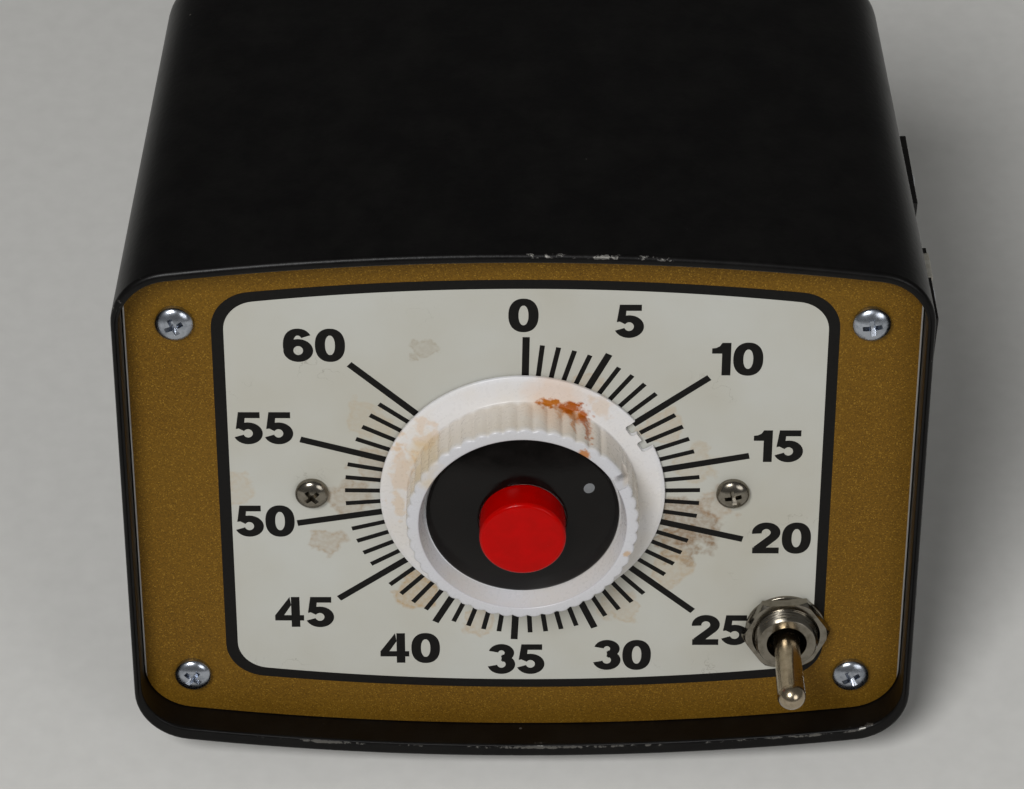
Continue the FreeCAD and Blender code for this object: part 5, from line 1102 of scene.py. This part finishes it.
def threaded(radius, height, angle):
    """The toggle bushing's radii: a thread that goes in and out once in a pitch's height or a turn,
    and a plate behind it, trimmed to straight sides 7 and 13.5 mm from the axis."""
    turn = (height / PITCH - angle / (2 * math.pi)) % 1.0
    depth = THREAD * np.abs(2 * turn - 1) * ((radius > 5.8) & (height > -1.6) & (radius <= 9))
    with np.errstate(divide="ignore"):
        sides = np.minimum(7.0 / np.abs(np.cos(angle)), 13.5 / np.abs(np.sin(angle)))
    return np.minimum(radius - depth, sides)


def six_sided(radius, height, angle):
    """The nut's radii: half its width over the cosine of the angle from the nearest flat's middle,
    trimmed by a cone that narrows towards the front."""
    from_flat = (angle - math.radians(64.0)) % (math.pi / 3) - math.pi / 6
    chamfer = 10.3 - 2.72 * height / 2.7
    return np.minimum(radius, np.minimum(NUT / np.cos(from_flat), chamfer))


def build_toggle():
    """The toggle's threaded bushing, washer, hexagon nut and bat lever, each turned about the
    toggle's axis, with the lever's ball and its cross pin."""
    thread = [(5.84, height) for height in np.arange(-1.5, 4.7, 0.1)]
    profile = [(3.6, -2.4), (PLENTY, -2.4), (PLENTY, -1.6), (5.85, -1.6)] + thread
    profile += [(5.35, 5.1, 0.15), (3.75, 5.1, 0.12), (3.6, 4.8)]
    piece("toggle_bushing_threaded", spun(profile, 120, reach=threaded), "nickel", "case",
          ("toggle_bushing",), place=TOGGLE)
    washer = spun([(5.9, 0.0), (7.5, 0.0, 0.15), (7.5, 0.7, 0.25), (5.9, 0.7)], 120)
    piece("toggle_washer_plated", washer, "nickel", "case", ("toggle_washer",), place=TOGGLE)
    sides = [(PLENTY, height) for height in np.linspace(0.75, 2.7, 14)]
    nut = spun([(5.9, 0.75)] + sides + [(6.35, 2.7), (5.9, 2.3)], 180, reach=six_sided)
    piece("toggle_nut_chamfered", nut, "nickel", "case", ("toggle_nut",), place=TOGGLE, sharp=25.0)
    ball = bow_of(0.0, 0.0, 3.3, 3.3, -61.0, 35.0, 20).tolist()
    tip = bow_of(0.0, 20.25, 2.65, 2.65, 0.0, 86.0, 14).tolist()
    bat = [(1.2, -6.5), (1.6, -6.1)] + ball + [(2.6, 3.0), (2.45, 4.6), (2.35, 6.5)] + tip
    lever = spun(bat, 96, ends=True)
    pin = spun([(0.6, -4.7), (0.8, -4.5), (0.8, 4.5), (0.6, 4.7)], 32, ends=True)
    pin = (pin[0][:, [2, 0, 1]], pin[1])
    piece("toggle_lever_plated", joined(lever, pin), "worn_nickel", "toggle", ("toggle_lever",),
          TOGGLE)


# ---------------------------------------------------------------- outlets and the inner works

def build_outlets():
    """The outlets on the right wall and the paper tape on one of them, with their edges rounded."""
    softened("front_outlet", "bakelite", "case", 0.5 * MM, 3)
    softened("back_outlet", "bakelite", "case", 0.5 * MM, 3)
    softened("outlet_tape", "paper_tape", "case", 0.06 * MM)
    softened("outlet_screws", "steel", "case", 0.2 * MM)


def build_works():
    """The movement, the motor, the switches and the small fittings keep their own shape, and each
    gets the finish of its material."""
    for node, slot in SLOTS.items():
        for holder in frame["nodes"][node].material_slots:
            holder.material = finish(slot)


# ---------------------------------------------------------------- stage

def studio_paper():
    """Matt background paper: pale and even, with the faintest fibre."""
    material, tree, drive = finish_of("studio background paper", "#d9d8d4", 0.9)
    fibre = clouds(tree, add(tree, "TexCoord", {}, "Object"), 4 * MM, 0.3, 0.7, Detail=4.0)
    shade = add(tree, "Mix", {"Factor": fibre, 6: rgba("#dad9d5"), 7: rgba("#d5d4d0")}, 2,
                data_type="RGBA")
    drive(Base_Color=shade)
    return material


# Each lamp's name, place, width and watts, and the place that both look at. The camera's right and
# up directions, its place and its lens.
LAMPS = (("overhead", (-0.36, -0.8, 1.1), 0.5, 12.0), ("front", (0.75, -1.0, 0.7), 0.7, 3.0))
LAMPS_AIM = (0.0, 0.0, 0.05)
CAMERA_RIGHT, CAMERA_UP = (1.0, 0.0, 0.001), (-0.001, 0.737, 0.676)
CAMERA_PLACE = (-0.00343, -0.52126, 0.6172)
CAMERA_LENS = 142.6


def aim(thing, right, up, place):
    """Stands a lamp or the camera at a place, by its right and up directions, each taken to a length
    of one. It looks against their cross product."""
    right, up = (np.array(axis) / np.linalg.norm(axis) for axis in (right, up))
    columns = np.column_stack([right, up, np.cross(right, up), place])
    thing.matrix_world = Matrix(np.vstack([columns, (0, 0, 0, 1)]).tolist())


def build_stage():
    """The pale floor, two soft lamps that look at the timer, a dim world and the camera."""
    scene = bpy.context.scene
    corners, faces = solid_box((-3000.0, -3000.0, -20.0), (3000.0, 3000.0, -0.05))
    floor = bare("studio_floor", (corners * MM, faces))
    floor.data.materials.append(studio_paper())
    world = bpy.data.worlds.new("studio")
    world.use_nodes = True
    world.node_tree.nodes["Background"].inputs["Color"].default_value = rgba("#f2f2f0")
    world.node_tree.nodes["Background"].inputs["Strength"].default_value = 0.14
    scene.world = world
    for name, spot, width, power in LAMPS:
        lamp = bpy.data.lights.new(name, "AREA")
        lamp.shape = "DISK"
        lamp.size = width
        lamp.energy = power
        away = np.array(spot) - LAMPS_AIM
        side = np.cross((0.0, 0.0, 1.0), away)
        aim(shown(name, lamp), side, np.cross(away, side), spot)
    view = bpy.data.cameras.new("camera")
    view.lens = CAMERA_LENS
    view.sensor_width = 36.0
    scene.camera = shown("camera", view)
    aim(scene.camera, CAMERA_RIGHT, CAMERA_UP, CAMERA_PLACE)
    scene.view_settings.view_transform = "Standard"


# ---------------------------------------------------------------- add-on

class TimerSizes(bpy.types.PropertyGroup):
    """Sizes that a user would change."""
    rim_round: FloatProperty(name="Rim rounding", description="Rounding of the rim's outer edge",
                             default=0.8 * MM, min=0.2 * MM, max=1.2 * MM, subtype="DISTANCE",
                             unit="LENGTH", precision=5)
    flute_count: IntProperty(name="Flutes", description="Flutes round the knob's grip", default=48,
                             min=12, max=96)
    flute_depth: FloatProperty(name="Flute depth", description="Depth of a flute in the knob's grip",
                               default=0.45 * MM, min=0.0, max=0.6 * MM, subtype="DISTANCE",
                               unit="LENGTH", precision=5)
    degrees_per_second: FloatProperty(name="Degrees a second", description="Second marks apart",
                                      default=5.187, min=1.0, max=5.8)
    short_tick: FloatProperty(name="Short mark", description="Outer end of a second's mark",
                              default=32.4 * MM, subtype="DISTANCE", unit="LENGTH", precision=5)
    middle_tick: FloatProperty(name="Middle mark", description="Outer end of a mark close to its numeral",
                               default=34.0 * MM, subtype="DISTANCE", unit="LENGTH", precision=5)
    long_tick: FloatProperty(name="Long mark", description="Outer end of a mark far from its numeral",
                             default=41.9 * MM, subtype="DISTANCE", unit="LENGTH", precision=5)
    numeral_height: FloatProperty(name="Numeral height", description="Height of a numeral",
                                  default=7.0 * MM, subtype="DISTANCE", unit="LENGTH", precision=5)
    numeral_width: FloatProperty(name="Zero's width", description="Width of the zero",
                                 default=5.2 * MM, subtype="DISTANCE", unit="LENGTH", precision=5)


class TimerColours(bpy.types.PropertyGroup):
    """Colours that a user would change."""
    enamel: FloatVectorProperty(name="Case", description="Enamel of the case", subtype="COLOR",
                                default=linear("#070606"), min=0.0, max=1.0)
    bronze: FloatVectorProperty(name="Plate", description="Paint of the face plate", subtype="COLOR",
                                default=linear("#54390c"), min=0.0, max=1.0)
    cream: FloatVectorProperty(name="Field", description="Printed field of the dial", subtype="COLOR",
                               default=linear("#bbbbb4"), min=0.0, max=1.0)
    ink: FloatVectorProperty(name="Ink", description="Ink of the marks and numerals", subtype="COLOR",
                             default=linear("#090807"), min=0.0, max=1.0)
    knob: FloatVectorProperty(name="Knob", description="Plastic of the knob", subtype="COLOR",
                              default=linear("#dcdcdf"), min=0.0, max=1.0)
    disc: FloatVectorProperty(name="Disc", description="Plastic of the disc in the knob",
                              subtype="COLOR", default=linear("#090706"), min=0.0, max=1.0)
    button: FloatVectorProperty(name="Button", description="Plastic of the start button",
                                subtype="COLOR", default=linear("#b40100"), min=0.0, max=1.0)


class TIMER_OT_case(bpy.types.Operator):
    """Casting with its rim, back, windows and bosses"""
    bl_idname = "timer.case"
    bl_label = "Case"

    def execute(self, context):
        build_case()
        return {"FINISHED"}


class TIMER_OT_rubber(bpy.types.Operator):
    """Moulded rubber feet and the supply cord's grommet"""
    bl_idname = "timer.rubber"
    bl_label = "Feet and grommet"

    def execute(self, context):
        build_rubber()
        return {"FINISHED"}


class TIMER_OT_plate(bpy.types.Operator):
    """Painted face plate"""
    bl_idname = "timer.plate"
    bl_label = "Face plate"

    def execute(self, context):
        build_plate()
        return {"FINISHED"}


class TIMER_OT_printed(bpy.types.Operator):
    """Printed outline and field of the dial"""
    bl_idname = "timer.printed"
    bl_label = "Print"

    def execute(self, context):
        build_print()
        return {"FINISHED"}


class TIMER_OT_ticks(bpy.types.Operator):
    """Second marks round the dial"""
    bl_idname = "timer.ticks"
    bl_label = "Second marks"

    def execute(self, context):
        build_ticks()
        return {"FINISHED"}


class TIMER_OT_numerals(bpy.types.Operator):
    """Numerals of the dial"""
    bl_idname = "timer.numerals"
    bl_label = "Numerals"

    def execute(self, context):
        build_numerals()
        return {"FINISHED"}


class TIMER_OT_screws(bpy.types.Operator):
    """Cross-headed screws of the face plate and the movement"""
    bl_idname = "timer.screws"
    bl_label = "Screws"

    def execute(self, context):
        build_screws()
        return {"FINISHED"}


class TIMER_OT_knob(bpy.types.Operator):
    """Fluted timing knob"""
    bl_idname = "timer.knob"
    bl_label = "Knob"

    def execute(self, context):
        build_knob()
        return {"FINISHED"}


class TIMER_OT_disc(bpy.types.Operator):
    """Domed disc in the knob, with its index dot"""
    bl_idname = "timer.disc"
    bl_label = "Disc"

    def execute(self, context):
        build_disc()
        return {"FINISHED"}


class TIMER_OT_button(bpy.types.Operator):
    """Start button"""
    bl_idname = "timer.button"
    bl_label = "Start button"

    def execute(self, context):
        build_button()
        return {"FINISHED"}


class TIMER_OT_toggle(bpy.types.Operator):
    """Bushing, washer, nut and lever of the toggle switch"""
    bl_idname = "timer.toggle"
    bl_label = "Toggle switch"

    def execute(self, context):
        build_toggle()
        return {"FINISHED"}


class TIMER_OT_outlets(bpy.types.Operator):
    """Outlets on the right wall, with their screws and tape"""
    bl_idname = "timer.outlets"
    bl_label = "Outlets"

    def execute(self, context):
        build_outlets()
        return {"FINISHED"}


class TIMER_OT_works(bpy.types.Operator):
    """Finishes of the movement, the motor, the switches and the fittings"""
    bl_idname = "timer.works"
    bl_label = "Inner works"

    def execute(self, context):
        build_works()
        return {"FINISHED"}


class TIMER_OT_stage(bpy.types.Operator):
    """Floor, lamps, world and camera"""
    bl_idname = "timer.stage"
    bl_label = "Stage"

    def execute(self, context):
        build_stage()
        return {"FINISHED"}


OPERATORS = (
    TIMER_OT_case, TIMER_OT_rubber, TIMER_OT_plate, TIMER_OT_printed, TIMER_OT_ticks,
    TIMER_OT_numerals, TIMER_OT_screws, TIMER_OT_knob, TIMER_OT_disc, TIMER_OT_button,
    TIMER_OT_toggle, TIMER_OT_outlets, TIMER_OT_works, TIMER_OT_stage,
)


class TIMER_PT_pieces(bpy.types.Panel):
    """The timer's sizes, colours and pieces"""
    bl_idname = "TIMER_PT_pieces"
    bl_label = "Enlarger Timer"
    bl_space_type = "VIEW_3D"
    bl_region_type = "UI"
    bl_category = "Timer"

    def draw(self, context):
        for group in (context.scene.timer_sizes, context.scene.timer_colours):
            box = self.layout.box()
            for name in group.__annotations__:
                box.prop(group, name)
        column = self.layout.column(align=True)
        for operator in OPERATORS:
            column.operator(operator.bl_idname)


CLASSES = (TimerSizes, TimerColours) + OPERATORS + (TIMER_PT_pieces,)


def register():
    """Registers the classes and hangs the sizes and colours on the scene."""
    for item in CLASSES:
        bpy.utils.register_class(item)
    bpy.types.Scene.timer_sizes = PointerProperty(type=TimerSizes)
    bpy.types.Scene.timer_colours = PointerProperty(type=TimerColours)


def unregister():
    """Takes the sizes, the colours and the classes away again."""
    del bpy.types.Scene.timer_colours
    del bpy.types.Scene.timer_sizes
    for item in reversed(CLASSES):
        bpy.utils.unregister_class(item)


def main():
    """Registers the add-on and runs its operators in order."""
    register()
    for operator in OPERATORS:
        group, name = operator.bl_idname.split(".")
        if getattr(getattr(bpy.ops, group), name)() != {"FINISHED"}:
            raise RuntimeError(operator.bl_idname + " did not finish")


if __name__ == "__main__":
    main()
